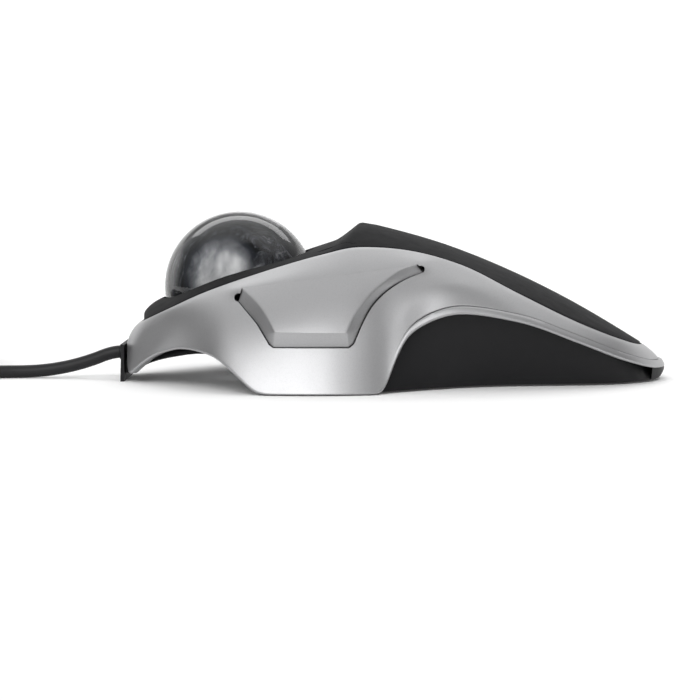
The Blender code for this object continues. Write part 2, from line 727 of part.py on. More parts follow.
def foot(name, size, centre):
    return box(name, (*size, FOOT_THICKNESS), (*centre, FOOT_THICKNESS / 2), "foot_rubber", bevel=1.2)


def screw(name, x, y, head_low, shank_end):
    """A pan-head screw from the outer face of its head to the end of its shank, pointing up or down."""
    length = abs(shank_end - head_low)
    turn = Matrix.Identity(4) if shank_end > head_low else Matrix.Rotation(math.pi, 4, "X")
    profile = [
        (0, 0.35),
        (0.6, 0.35),
        (0.6, 0),
        (SCREW_HEAD * 0.8, 0),
        (SCREW_HEAD, 0.4),
        (SCREW_HEAD, SCREW_HEAD_HEIGHT),
        (SCREW_RADIUS, SCREW_HEAD_HEIGHT),
        (SCREW_RADIUS, length - 0.8),
        (0, length),
    ]
    return turned(name, profile, (x, y, head_low), "screw_steel", turn, sides=12)


# ---------------------------------------------------------------- ball and its cup


def sensor_direction():
    tilt = math.radians(SENSOR_TILT)
    return Vector((math.cos(tilt), 0.0, -math.sin(tilt)))


def sensor_place(distance, rise=0.0, across=0.0):
    """A place seen from the ball's centre along the sensor's line of sight."""
    tilt = math.radians(SENSOR_TILT)
    up = Vector((math.sin(tilt), 0.0, math.cos(tilt)))
    return Vector(BALL_CENTRE) + distance * sensor_direction() + rise * up + Vector((0, across, 0))


def sensor_turn():
    return Matrix.Rotation(math.radians(90 + SENSOR_TILT), 4, "Y")


def bearing_directions():
    tilt = math.radians(BEARING_TILT)
    level = Vector((math.cos(tilt), 0.0, -math.sin(tilt)))
    return [Matrix.Rotation(math.radians(turn), 3, "Z") @ level for turn in BEARING_TURNS]


def ball_shell():
    """The clear outer layer; a pinhole at its pole joins the inside to the outside."""
    hole = 0.5
    outer = [
        (BALL_RADIUS * math.sin(a), BALL_RADIUS * math.cos(a))
        for a in np.linspace(math.asin(hole / BALL_RADIUS), math.pi, 14)
    ]
    hollow = CORE_RADIUS + CORE_GAP
    inner = [
        (hollow * math.sin(a), hollow * math.cos(a))
        for a in np.linspace(math.pi, math.asin(hole / hollow), 10)
    ]
    outer[-1], inner[0] = (0, -BALL_RADIUS), (0, -hollow)
    return turned("ball_shell", outer + inner, BALL_CENTRE, "clear_resin", sides=30)


def ball_core():
    arc = [(CORE_RADIUS * math.sin(a), CORE_RADIUS * math.cos(a)) for a in np.linspace(0, math.pi, 10)]
    arc[0], arc[-1] = (0, CORE_RADIUS), (0, -CORE_RADIUS)
    return turned("ball_core", arc, BALL_CENTRE, "pearl_resin", sides=22)


def ball_cup():
    """The bowl under the ball: open below, with lugs, three bearing seats and a window for the sensor."""
    low = CUP_FLOOR - BALL_CENTRE[2]
    high = 8.5
    outer = [
        (CUP_OUTER * math.sin(a), -CUP_OUTER * math.cos(a))
        for a in np.linspace(math.acos(-low / CUP_OUTER), math.pi - math.acos(high / CUP_OUTER), 9)
    ]
    inner = [
        (CUP_INNER * math.sin(a), -CUP_INNER * math.cos(a))
        for a in np.linspace(math.pi - math.acos(high / CUP_INNER), math.acos(-low / CUP_INNER), 9)
    ]
    cup = turned("ball_cup", outer + inner, BALL_CENTRE, "black_plastic", sides=32)
    tilt = Matrix.Rotation(-math.atan(DECK_SLOPE), 4, "Y")
    top = Vector(BALL_CENTRE) + tilt.to_3x3() @ Vector((0, 0, CUP_TOP + 15))
    cut(cup, box("cup_trim", (70, 70, 30), top, "black_plastic", tilt))
    for k, (x, y) in enumerate(CUP_SCREWS):
        middle = (x, math.copysign(22.6, y), LUG_TOP - LUG_THICKNESS / 2)
        join(cup, box(f"lug_{k + 1}", (6.0, 11.4, LUG_THICKNESS), middle, "black_plastic"))
        cut(cup, cylinder(f"lug_hole_{k + 1}", BORE, 6.0, (x, y, LUG_TOP), "black_plastic", sides=12))
    for k, d in enumerate(bearing_directions()):
        seat = Vector(BALL_CENTRE) + 22.4 * d
        join(cup, cylinder(f"seat_{k + 1}", 2.7, 2.6, seat, "black_plastic", along(d), 16))
        pocket = Vector(BALL_CENTRE) + 21.0 * d
        radius = BEARING_RADIUS + 0.3
        cut(cup, cylinder(f"pocket_{k + 1}", radius, 4.4, pocket, "black_plastic", along(d), 14))
    for side in (-1, 1):
        name = "sensor_arm_left" if side < 0 else "sensor_arm_right"
        middle = sensor_place(23.5, 0, side * 7.4)
        join(cup, box(name, (8.0, 2.0, 7.2), middle, "black_plastic", sensor_turn()))
    cut(cup, cylinder("window", 3.2, 8.0, sensor_place(21.5), "black_plastic", sensor_turn(), 16))
    cut(cup, cylinder("light_port", 1.8, 8.0, sensor_place(21.5, 5.4), "black_plastic", sensor_turn(), 12))
    return cup


def bearing(name, direction):
    distance = BALL_RADIUS + 0.3 + BEARING_RADIUS
    arc = [
        (BEARING_RADIUS * math.sin(a), BEARING_RADIUS * math.cos(a)) for a in np.linspace(0, math.pi, 7)
    ]
    arc[0], arc[-1] = (0, BEARING_RADIUS), (0, -BEARING_RADIUS)
    return turned(name, arc, Vector(BALL_CENTRE) + distance * direction, "bearing_steel", sides=12)


def sensor_group():
    turn = sensor_turn()
    box("sensor_board", (13.0, 17.0, 1.2), sensor_place(28.0), "circuit_board", turn)
    box("optical_sensor", (7.0, 7.6, 1.7), sensor_place(26.2), "chip_plastic", turn)
    lens = [(0, 0), (1.8, 0), (2.6, 0.6), (2.6, 1.9), (0, 1.9)]
    turned("sensor_lens", lens, sensor_place(23.1), "lens_plastic", turn, sides=16)
    lamp = [(0, 0), (0.9, 0.25), (1.5, 1.2), (1.5, 4.0), (0, 4.0)]
    turned("sensor_led", lamp, sensor_place(23.0, 5.4), "led_red", turn, sides=14)


# ---------------------------------------------------------------- electronics


def main_board():
    """A T-shaped board: its arms carry the two switches."""
    outline = [(-10, -16), (-24, -16), (-24, -37.6), (-6, -37.6), (-6, -17), (40, -17)]
    outline += [(x, -y) for x, y in outline[::-1]]
    board = prism("main_board", outline, BOARD_TOP - BOARD_THICKNESS, BOARD_TOP, "circuit_board")
    for k, (x, y) in enumerate(BOARD_SCREWS):
        cut(board, cylinder(f"board_hole_{k + 1}", BORE, 5.0, (x, y, BOARD_TOP), "circuit_board", sides=12))
    return board


def on_board(name, size, x, y, finish, bevel=0.0):
    return box(name, size, (x, y, BOARD_TOP + 0.3 + size[2] / 2), finish, bevel=bevel)


def click_switch(name, side):
    """A small snap switch lying on its side, with a slot that the plunger slides in."""
    body = on_board(name, (12.8, 6.4, 5.8), SWITCH_X, side * 33.2, "switch_black")
    slot = box(f"{name}_slot", (2.6, 2.4, 1.8), (SWITCH_X, side * 36.0, SWITCH_Z), "switch_black")
    cut(body, slot)
    size = (2.0, 1.8, 1.2)
    middle = (SWITCH_X, side * (PLUNGER_TIP - size[1] / 2), SWITCH_Z)
    return box(f"{name}_plunger", size, middle, "switch_red")


def sensor_ribbon():
    """A flat ribbon from the back of the sensor's board over to the main board."""
    top = [(-14.0, 13.9), (-11.6, 14.6), (-8.6, 13.6), (-6.9, 11.0)]
    under = [(-7.5, 10.95), (-9.0, 13.1), (-11.6, 14.0), (-13.7, 13.4)]
    return prism("sensor_ribbon", top + under, -3.5, 3.5, "connector_white", axis="y")


def electronics():
    main_board()
    for side, name in ((-1, "left_switch"), (1, "right_switch")):
        click_switch(name, side)
    on_board("usb_controller", (10.3, 7.6, 2.2), 14.0, 0.0, "chip_plastic")
    on_board("crystal", (11.0, 4.4, 3.6), 14.0, 9.5, "tin_plate", bevel=2.0)
    can = [(0, 0), (2.5, 0), (2.5, 6.6), (2.1, 7.0), (0, 7.0)]
    turned("capacitor", can, (25.0, -6.0, BOARD_TOP + 0.3), "capacitor_sleeve", sides=16)
    on_board("cord_header", (5.0, 9.0, 4.4), 3.2, -12.0, "connector_white")
    box("cord_crimp_plug", (5.0, 8.4, 3.6), (-2.1, -12.0, 13.1), "connector_white")
    sensor_ribbon()


# ---------------------------------------------------------------- cord


def smooth_route(points, spacing):
    """Evenly spaced places on a smooth curve through the points."""
    points = np.array(points, float)
    ends = np.vstack([2 * points[0] - points[1], points, 2 * points[-1] - points[-2]])
    fine = []
    for a, b, c, d in zip(ends, ends[1:], ends[2:], ends[3:]):
        for t in np.linspace(0, 1, 24, endpoint=False):
            fine.append(
                0.5
                * (2 * b + (c - a) * t + (2 * a - 5 * b + 4 * c - d) * t**2 + (3 * b - a - 3 * c + d) * t**3)
            )
    fine.append(points[-1])
    fine = np.array(fine)
    walked = np.concatenate([[0], np.cumsum(np.linalg.norm(np.diff(fine, axis=0), axis=1))])
    at = np.linspace(0, walked[-1], max(2, round(walked[-1] / spacing) + 1))
    return np.column_stack([np.interp(at, walked, fine[:, k]) for k in range(3)])


def tube(name, route, diameter, finish):
    curve = bpy.data.curves.new(name, "CURVE")
    curve.dimensions = "3D"
    curve.bevel_depth = diameter / 2 * MM
    curve.bevel_resolution = 2
    curve.use_fill_caps = True
    curve.render_resolution_u = 0
    places = smooth_route(route, 2.2 * diameter)
    spline = curve.splines.new("POLY")
    spline.points.add(len(places) - 1)
    for point, place_at in zip(spline.points, places):
        point.co = (*(MM * c for c in place_at), 1.0)
    return link(name, curve, finish)


def cord_grommet():
    """The collar that holds the cord in the nose plate."""
    profile = [
        (0, -73.1),
        (GROMMET_RADIUS - 0.2, -73.1),
        (GROMMET_RADIUS, -72.9),
        (GROMMET_RADIUS, -69.6),
        (GROMMET_RADIUS - 0.4, -69.4),
        (GROMMET_RADIUS - 0.4, -68.6),
        (GROMMET_RADIUS, -68.4),
        (GROMMET_RADIUS, -66.9),
        (0, -66.9),
    ]
    shifted = [(r, x + 70.0) for r, x in profile]
    middle = (-70.0, 0.0, CORD_HEIGHT)
    return turned("cord_grommet", shifted, middle, "cord_black", along((1, 0, 0)), sides=16)


def cable_coil():
    edge = 1.2
    profile = [
        (COIL_OUTER, COIL_HEIGHT - edge),
        (COIL_OUTER, edge),
        (COIL_OUTER - edge, 0),
        (COIL_INNER + edge, 0),
        (COIL_INNER, edge),
        (COIL_INNER, COIL_HEIGHT - edge),
        (COIL_INNER + edge, COIL_HEIGHT),
        (COIL_OUTER - edge, COIL_HEIGHT),
    ]
    return turned("cable_coil", profile, (*COIL_CENTRE, 0.0), "cord_black", sides=32)


def usb_plug():
    """The plug lies on the coil, pointing along +X."""
    x, y = COIL_CENTRE[0], COIL_CENTRE[1] + 21.0
    z = COIL_HEIGHT + 0.3 + PLUG_BODY[2] / 2
    box("usb_plug_body", PLUG_BODY, (x, y, z), "cord_black")
    shell = box("usb_plug_shell", PLUG_SHELL, (x + 18.6, y, z), "tin_plate")
    cut(shell, box("usb_plug_mouth", (PLUG_SHELL[0], 11.3, 3.8), (x + 19.1, y, z), "tin_plate"))
    box("usb_plug_tongue", (17.0, 10.7, 1.7), (x + 18.9, y, z - 0.75), "connector_white")


def screws():
    for k, ((x, y), foot_z) in enumerate(zip(POSTS, POST_FOOT)):
        reach = 7.0 if x > 0 else 2.8
        head = screw_seat(x) - 0.3 - SCREW_HEAD_HEIGHT
        screw(f"housing_screw_{k + 1}", x, y, head, foot_z + reach)
    for k, (x, y) in enumerate(BOARD_SCREWS):
        screw(f"board_screw_{k + 1}", x, y, BOARD_TOP + 0.3 + SCREW_HEAD_HEIGHT, 4.0)
    for k, (x, y) in enumerate(CUP_SCREWS):
        screw(f"cup_screw_{k + 1}", x, y, LUG_TOP + 0.3 + SCREW_HEAD_HEIGHT, 6.2)


def main():
    clear_scene()
    skin = housing_surface(240, 24)
    outer_tree, inner_tree = skin_tree(skin), skin_tree(sunk(skin, SHELL + SEAM + TRAY_PLAY))
    upper_housing()
    button("left_button", -1, outer_tree)
    button("right_button", 1, outer_tree)
    top_cover()
    bottom_housing(inner_tree)
    ball_shell()
    ball_core()
    ball_cup()
    for k, direction in enumerate(bearing_directions()):
        bearing(f"bearing_{k + 1}", direction)
    sensor_group()
    electronics()
    screws()
    for name, size, centre in FEET:
        foot(name, size, centre)
    cord_grommet()
    tube("inner_cable", INNER_ROUTE, 2.4, "cord_black")
    tube("cable", CORD_ROUTE, CORD_DIAMETER, "cord_black")
    cable_coil()
    usb_plug()


main()
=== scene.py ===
"""Looks of the desk trackball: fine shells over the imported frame, real materials, cord, light and camera.

Points are worked out in millimetres, in the frame's axes, and mesh_piece() and cord() turn them into metres.
The housing's and cover's surfaces come from ribs like those of the CAD solids that they stand for, and no
point of them is more than 1.5 mm away. The flaps' top edges reach up to 4.1 mm beyond the CAD's.
"""

import json
import math

import bmesh
import bpy
import numpy as np
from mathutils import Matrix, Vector
from mathutils.bvhtree import BVHTree


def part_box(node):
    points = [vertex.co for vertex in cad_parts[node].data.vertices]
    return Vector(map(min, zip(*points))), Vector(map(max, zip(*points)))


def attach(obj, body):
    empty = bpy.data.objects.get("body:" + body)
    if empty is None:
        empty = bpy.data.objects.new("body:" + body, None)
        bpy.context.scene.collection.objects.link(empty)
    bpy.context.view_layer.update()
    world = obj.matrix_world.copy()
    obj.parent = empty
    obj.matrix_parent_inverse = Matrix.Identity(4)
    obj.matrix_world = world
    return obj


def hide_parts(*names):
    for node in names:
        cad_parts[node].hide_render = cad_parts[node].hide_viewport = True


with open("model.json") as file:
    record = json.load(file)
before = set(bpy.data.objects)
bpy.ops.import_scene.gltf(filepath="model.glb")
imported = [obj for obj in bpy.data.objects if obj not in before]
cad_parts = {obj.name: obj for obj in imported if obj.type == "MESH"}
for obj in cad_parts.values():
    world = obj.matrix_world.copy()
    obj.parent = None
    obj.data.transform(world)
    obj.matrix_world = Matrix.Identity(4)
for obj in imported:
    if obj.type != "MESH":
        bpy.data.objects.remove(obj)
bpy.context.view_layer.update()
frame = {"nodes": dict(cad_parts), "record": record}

MM = 0.001

# ---------------------------------------------------------------- driving dimensions, near the CAD's

BALL_RADIUS = 20.0
CORE_RADIUS = 12.6
DECK_POINT = (-61.0, 21.7)
DECK_SLOPE = 0.331
HOLE_RADIUS = 20.5
CREST_X = -8.4
CREST_BEND = 60.0
SCOOP_LENGTH = 7.0
SEAM = 0.35
SHELL = 2.0
LEDGE_DROP = 2.2
LEDGE_WIDTH = 2.4
LEDGE_THICKNESS = 1.2
COVER_THICKNESS = 1.9

RIBS = [  # inner edge (x, y, z), lower rim (x, y, z), slope in degrees at each end
    ((-66.8, 0.0, 15.7), (-70.6, 0.0, 10.3), 30, 75),
    ((-66.2, 8.5, 15.9), (-70.5, 9.0, 9.8), 30, 75),
    ((-64.5, 14.5, 16.8), (-70.0, 12.6, 1.8), 30, 75),
    ((-58.0, 20.8, 20.0), (-62.0, 22.0, 8.0), 32, 70),
    ((-50.0, 24.4, 23.8), (-53.9, 32.5, 10.4), 35, 66),
    ((-41.0, 26.3, 27.2), (-46.5, 41.2, 9.4), 35, 66),
    ((-35.0, 26.4, 29.2), (-40.0, 46.5, 4.9), 33, 66),
    ((-29.0, 26.3, 31.1), (-33.6, 50.0, 0.2), 30, 67),
    ((-19.0, 26.0, 33.9), (-18.8, 51.1, 0.2), 29, 67),
    ((-9.0, 25.5, 35.9), (-3.9, 48.4, 0.2), 28, 67),
    ((-4.0, 25.3, 35.8), (-0.7, 44.7, 7.3), 28, 66),
    ((3.0, 25.3, 35.1), (3.4, 41.1, 14.7), 28, 65),
    ((16.0, 26.6, 31.7), (16.0, 38.0, 19.6), 28, 64),
    ((31.0, 28.5, 24.3), (31.0, 36.0, 17.4), 28, 65),
    ((45.0, 27.2, 17.4), (46.5, 32.2, 11.9), 28, 65),
    ((56.5, 21.8, 12.6), (60.0, 24.8, 6.6), 28, 68),
    ((63.5, 12.0, 10.1), (69.0, 13.0, 4.0), 28, 68),
    ((66.3, 0.0, 9.4), (72.7, 0.0, 3.6), 28, 68),
]
DOME = [(-8.4, 41.9), (1.7, 39.4), (12.4, 36.3), (28.4, 30.1), (44.5, 22.4), (55.2, 16.4), (66.3, 9.6)]

# The flap in side view, (x, z), from its hinge line down: the ends of the hinge line, the sloping
# edges' outer lines, and the creases where those edges meet the flap's face.
FLAP_FRONT_END = (-39.0, 25.6)
FLAP_REAR_END = (5.6, 31.6)
FLAP_FRONT = [(-39.9, 22.4), (-38.3, 20.7), (-36.4, 18.7), (-34.9, 17.0), (-33.3, 14.6), (-31.7, 12.1)]
FLAP_REAR = [(7.0, 29.6), (3.4, 28.3), (-0.4, 26.3), (-3.7, 23.8), (-6.1, 21.2), (-8.1, 17.8), (-10.6, 12.3)]
FRONT_CREASE = [(-39.0, 25.6), (-36.4, 23.6), (-34.5, 21.8), (-32.9, 19.8), (-31.5, 17.6), (-30.3, 15.4)]
REAR_CREASE = [
    (5.6, 31.6), (1.1, 30.2), (-3.2, 27.3), (-6.5, 24.4), (-9.1, 21.3), (-11.1, 18.2), (-12.3, 15.2)
]
FLAP_LIP = [(-30.6, 11.4), (-11.9, 11.4)]
RELIEFS = [(-39.8, 23.3, 1.05), (6.4, 30.4, 0.9)]  # the slots' round ends: x, z, radius
RELIEF_STEPS = 12  # how finely the opening's edge is searched for where a round end meets it
RELIEF_SIDES = 20

# ---------------------------------------------------------------- driving dimensions of the looks

AROUND = 400  # ribs of the housing's fine skin
DOWN = 34  # rows from its inner edge to its rim band
BAND_HEIGHT = 2.3  # the band along the rear rim
FRONT_BAND = 1.7
CREASE_DEPTH = 0.55
NOTCH_DEPTH = 0.40  # the fine line along the crease
NOTCH_HALF = 0.32
# how far the painted shade in seams, slots and creases reaches, in millimetres
PAINTED_SHADE_REACH = 0.9
CREASE_FADE = 7.0
RIM_ROUND = 0.55
FOOT_CLEARANCE = 0.2
TOP_ROUND = 0.3
FLAP_PROUD_TOP = 1.2  # how far the flap stands out at its hinge, and at its lower lip
FLAP_PROUD_LIP = 2.5
FLAP_SLIT = 0.18
FLAP_SINK_TOP = 0.8  # how far its edge lies below the housing's skin, at the slots' ends and at the lip
FLAP_SINK_LIP = 0.4
FLAP_END_ROWS = 5
FLAP_ROWS = 42
FLAP_MIDDLE = 48  # columns across its face
BEVEL_RISE = [(0.0, 0.0), (0.3, 0.3), (0.6, 0.6), (0.84, 0.84), (0.93, 0.925), (1.0, 0.975)]
SWELL_REACH = 5.0  # the housing's swell round the flap dies out this far past its ends
SWELL_BELOW = 3.2
DECK_ROLL = (-44.5, 20.0, 1.85)  # the deck's rolled edge beside the ball: where it is highest, reach, rise
COVER_AROUND = 240
COVER_RINGS = 36
COVER_CREST_RING = 16

CORD_RADIUS = 1.7
COIL_CENTRE = (-141.5, 14.0)
COIL_INNER = 12.45  # centreline radii of a layer's first and last turns
COIL_OUTER = 26.05
LAYER_RISE = 3.4
SLEEVE_LENGTH = 9.5  # the plug's ribbed sleeve
SLEEVE_RIBS = 5
SLEEVE_STEPS = 12  # rings to each of its ribs
CORD_START = [  # from the collar in the nose down to the desk and on to the coil
    (-72.6, 0.0, 7.05),
    (-73.8, 0.0, 7.0),
    (-76.5, 0.0, 6.4),
    (-80.0, 0.0, 5.1),
    (-84.5, 0.0, 3.7),
    (-89.0, 0.0, 2.7),
    (-94.0, 0.0, 2.0),
    (-99.0, -0.2, 1.75),
    (-104.5, -1.0, 1.75),
    (-110.0, -2.5, 1.75),
    (-115.0, -4.2, 1.75),
    (-119.4, -5.8, 1.75),
    (-125.8, -8.2, 1.75),
]
CORD_LEAD = [  # from the coil's top layer round to the plug, seen from the coil's centre
    (-7.0, -12.2, 12.15),
    (-13.2, -9.9, 12.3),
    (-18.2, -5.0, 12.5),
    (-21.2, 1.6, 12.8),
    (-21.6, 8.2, 13.3),
    (-19.6, 14.2, 13.8),
    (-15.2, 18.9, 14.2),
    (-11.9, 20.4, 14.4),
    (-9.2, 20.9, 14.5),
    (-6.0, 21.0, 14.5),
]

LEFT_LEVEL = 0.12  # brightness of the studio to the left, to the right, around and behind
RIGHT_LEVEL = 0.25
AROUND_LEVEL = 0.50
BACKDROP_LEVEL = 1.15
FLOOR_LIFT = 0.05
FLOOR_CORNERS = ((-1500, -1500), (1500, 950))
GLOWS = [  # soft lights: direction, brightness, and the cosines at which each begins and is full
    ((-0.18, -0.81, 0.56), 4.2, 0.87, 0.985),
    ((0.52, 0.05, 0.85), 0.6, 0.88, 0.99),
    ((-0.12, 0.20, 0.97), 0.45, 0.74, 0.98),
]
FLAG = ((0.24, -0.50, 0.83), 0.9, 0.945, 0.985)  # a dark panel: direction, how much it takes, cosines
STRIP_PLACE = (-0.02, 0.75, 0.82)  # the light, in metres and watts
STRIP_AIM = (-0.01, 0.0, 0.02)
STRIP_SIZE = (1.6, 0.30)
STRIP_POWER = 3.0
LENS = 115.65
CAMERA_PLACE = (-0.0116, -0.6, 0.05388)
CAMERA_TILT = 4.423  # degrees below level


# ---------------------------------------------------------------- surface formulas


def eased(knots, values, at):
    """A monotone cubic through values at knots: it never overshoots them."""
    knots, values = np.asarray(knots, float), np.asarray(values, float)
    values = values.reshape(len(knots), -1)
    step = np.diff(knots)[:, None]
    rise = np.diff(values, axis=0) / step
    slope = np.zeros_like(values)
    slope[0], slope[-1] = rise[0], rise[-1]
    before, after = rise[:-1], rise[1:]
    same = before * after > 0
    weight_a, weight_b = 2 * step[1:] + step[:-1], step[1:] + 2 * step[:-1]
    with np.errstate(divide="ignore", invalid="ignore"):
        mean = (weight_a + weight_b) / (weight_a / before + weight_b / after)
    slope[1:-1] = np.where(same, mean, 0.0)
    at = np.clip(np.atleast_1d(at), knots[0], knots[-1])
    i = np.clip(np.searchsorted(knots, at, side="right") - 1, 0, len(knots) - 2)
    h = step[i]
    t = ((at - knots[i]) / h[:, 0])[:, None]
    return (
        (1 + 2 * t) * (1 - t) ** 2 * values[i]
        + t * (1 - t) ** 2 * h * slope[i]
        + t**2 * (3 - 2 * t) * values[i + 1]
        + t**2 * (t - 1) * h * slope[i + 1]
    )


def smoothstep(x):
    x = np.clip(x, 0.0, 1.0)
    return x * x * (3 - 2 * x)


def rib_loop(count, fine=720, passes=24):
    """The ribs as closed loops: rows of (inner edge xyz, lower rim xyz, two slopes), closer at the bends."""
    half = np.array([[*inner, *rim, top, low] for inner, rim, top, low in RIBS], float)
    half[:, [1, 4]] *= -1
    other = half[-2:0:-1].copy()
    other[:, [1, 4]] *= -1
    loop = np.vstack([half, other])
    wrapped = np.vstack([loop[-3:], loop, loop[:4]])
    middle = (wrapped[:, 0:3] + wrapped[:, 3:6]) / 2
    knots = np.concatenate([[0], np.cumsum(np.linalg.norm(np.diff(middle, axis=0), axis=1))])
    start, end = knots[3], knots[3 + len(loop)]
    rows = eased(knots, wrapped, np.linspace(start, end, fine, endpoint=False))
    for _ in range(passes):
        rows = (np.roll(rows, 1, 0) + 2 * rows + np.roll(rows, -1, 0)) / 4
    rim = rows[:, 3:6]
    bend = np.linalg.norm(np.roll(rim, 1, 0) - 2 * rim + np.roll(rim, -1, 0), axis=1)
    share = np.cumsum(1 + 1.5 * np.minimum(bend / bend.mean(), 3.0))
    picks = np.searchsorted(share, np.arange(count // 2) / (count // 2) * share[fine // 2 - 1])
    picks = np.unique(np.concatenate([picks, [0, fine // 2]]))
    mirror = [fine - k for k in picks[::-1] if 0 < k < fine // 2]
    return rows[np.concatenate([picks, mirror]).astype(int)]


def rib_curves(ribs, t):
    """Points at shares t, [around, down], along each rib's cubic from the inner edge to the lower rim."""
    inner, rim = ribs[:, 0:3], ribs[:, 3:6]
    top, low = np.radians(ribs[:, 6]), np.radians(ribs[:, 7])
    out = (rim - inner)[:, :2]
    out /= np.linalg.norm(out, axis=1)[:, None]
    reach = 0.36 * np.linalg.norm(rim - inner, axis=1)[:, None]

    def heading(slope):
        return np.column_stack([out * np.cos(slope)[:, None], -np.sin(slope)])

    first, second = inner + reach * heading(top), rim - reach * heading(low)
    inner, first, second, rim = (p[:, None, :] for p in (inner, first, second, rim))
    t = t[:, :, None]
    return (1 - t) ** 3 * inner + 3 * t * (1 - t) ** 2 * first + 3 * t**2 * (1 - t) * second + t**3 * rim


def walked(points):
    """Distance along each row of points, [around, down]."""
    steps = np.linalg.norm(np.diff(points, axis=1), axis=2)
    return np.concatenate([np.zeros((len(points), 1)), np.cumsum(steps, axis=1)], axis=1)


def outward_normals(skin):
    around = np.roll(skin, -1, 0) - np.roll(skin, 1, 0)
    down = np.gradient(skin, axis=1)
    normal = np.cross(down, around)
    normal /= np.linalg.norm(normal, axis=2)[:, :, None]
    return normal * np.sign(normal[:, :, 2].mean())


def inner_edge_line():
    """The housing's inner edge on one side, rows of (x, half width, z) in order of x."""
    edge = rib_loop(240)[:, 0:3]
    edge = edge[edge[:, 1] <= 1e-6] * [1, -1, 1]
    return edge[np.argsort(edge[:, 0])]


def skin_tree(skin):
    """A skin to be looked up along Y."""
    around, down = skin.shape[:2]
    faces = grid_faces(around, down, closed=True)
    return BVHTree.FromPolygons([Vector(p) for p in skin.reshape(-1, 3)], faces)


def skin_y(tree, x, z):
    hit = tree.ray_cast(Vector((x, -90.0, z)), Vector((0, 1, 0)))[0]
    return -hit.y if hit else 0.0


def edge_curve(points, shares):
    points = np.array(points, float)
    knots = np.concatenate([[0], np.cumsum(np.linalg.norm(np.diff(points, axis=0), axis=1))])
    return eased(knots, points, np.array(shares) * knots[-1])


# ---------------------------------------------------------------- mesh tools


def grid_faces(rows, columns, closed=False):
    """Quads of a grid of points, rows by columns; closed joins the last row to the first."""
    faces = []
    for i in range(rows if closed else rows - 1):
        a, b = i * columns, (i + 1) % rows * columns
        faces += [[a + j, a + j + 1, b + j + 1, b + j] for j in range(columns - 1)]
    return faces


def ring_faces(rows, columns):
    """Quads of a grid that is closed both ways."""
    faces = []
    for i in range(rows):
        a, b = i * columns, (i + 1) % rows * columns
        faces += [[a + j, a + (j + 1) % columns, b + (j + 1) % columns, b + j] for j in range(columns)]
    return faces


def mesh_piece(name, points, faces, sharp=40):
    """A mesh object from points in millimetres, with its faces pointing out."""
    mesh = bpy.data.meshes.new(name)
    mesh.from_pydata([tuple(MM * float(c) for c in p) for p in points], [], faces)
    bm = bmesh.new()
    bm.from_mesh(mesh)
    bmesh.ops.recalc_face_normals(bm, faces=bm.faces)
    bm.to_mesh(mesh)
    bm.free()
    mesh.shade_smooth()
    mesh.set_sharp_from_angle(angle=math.radians(sharp))
    obj = bpy.data.objects.new(name, mesh)
    bpy.context.scene.collection.objects.link(obj)
    return obj


def apply_modifiers(obj):
    """Bakes the modifiers into the mesh and removes the cutters that they used."""
    tools = {m.object for m in obj.modifiers if m.type == "BOOLEAN"}
    graph = bpy.context.evaluated_depsgraph_get()
    baked = bpy.data.meshes.new_from_object(obj.evaluated_get(graph))
    old = obj.data
    obj.modifiers.clear()
    obj.data = baked
    bpy.data.meshes.remove(old)
    for tool in tools:
        bpy.data.objects.remove(tool)


def cut(target, tool):
    modifier = target.modifiers.new(tool.name, "BOOLEAN")
    modifier.operation = "DIFFERENCE"
    modifier.solver = "EXACT"
    modifier.object = tool


def prism_y(name, outline, low, high):
    """An outline of (x, z) points extruded along Y."""
    count = len(outline)
    points = [(x, low, z) for x, z in outline] + [(x, high, z) for x, z in outline]
    faces = [list(range(count)), list(range(count, 2 * count))]
    faces += [[k, (k + 1) % count, count + (k + 1) % count, count + k] for k in range(count)]
    return mesh_piece(name, points, faces)


def soften(node, bevel):
    """Shades a carried-over CAD node smoothly and rounds its sharp edges by bevel, in millimetres."""
    obj = frame["nodes"][node]
    welder = obj.modifiers.new("smooth", "NODES")
    welder.node_group = smooth_group()
    socket = next(s for s in welder.node_group.interface.items_tree if s.name == "Angle")
    welder[socket.identifier] = math.radians(SOFT_ANGLE)
    if bevel:
        rounding = obj.modifiers.new("edges", "BEVEL")
        rounding.width = bevel * MM
        rounding.segments = 2
        rounding.limit_method = "ANGLE"
        rounding.angle_limit = math.radians(SOFT_ANGLE)
        rounding.harden_normals = True


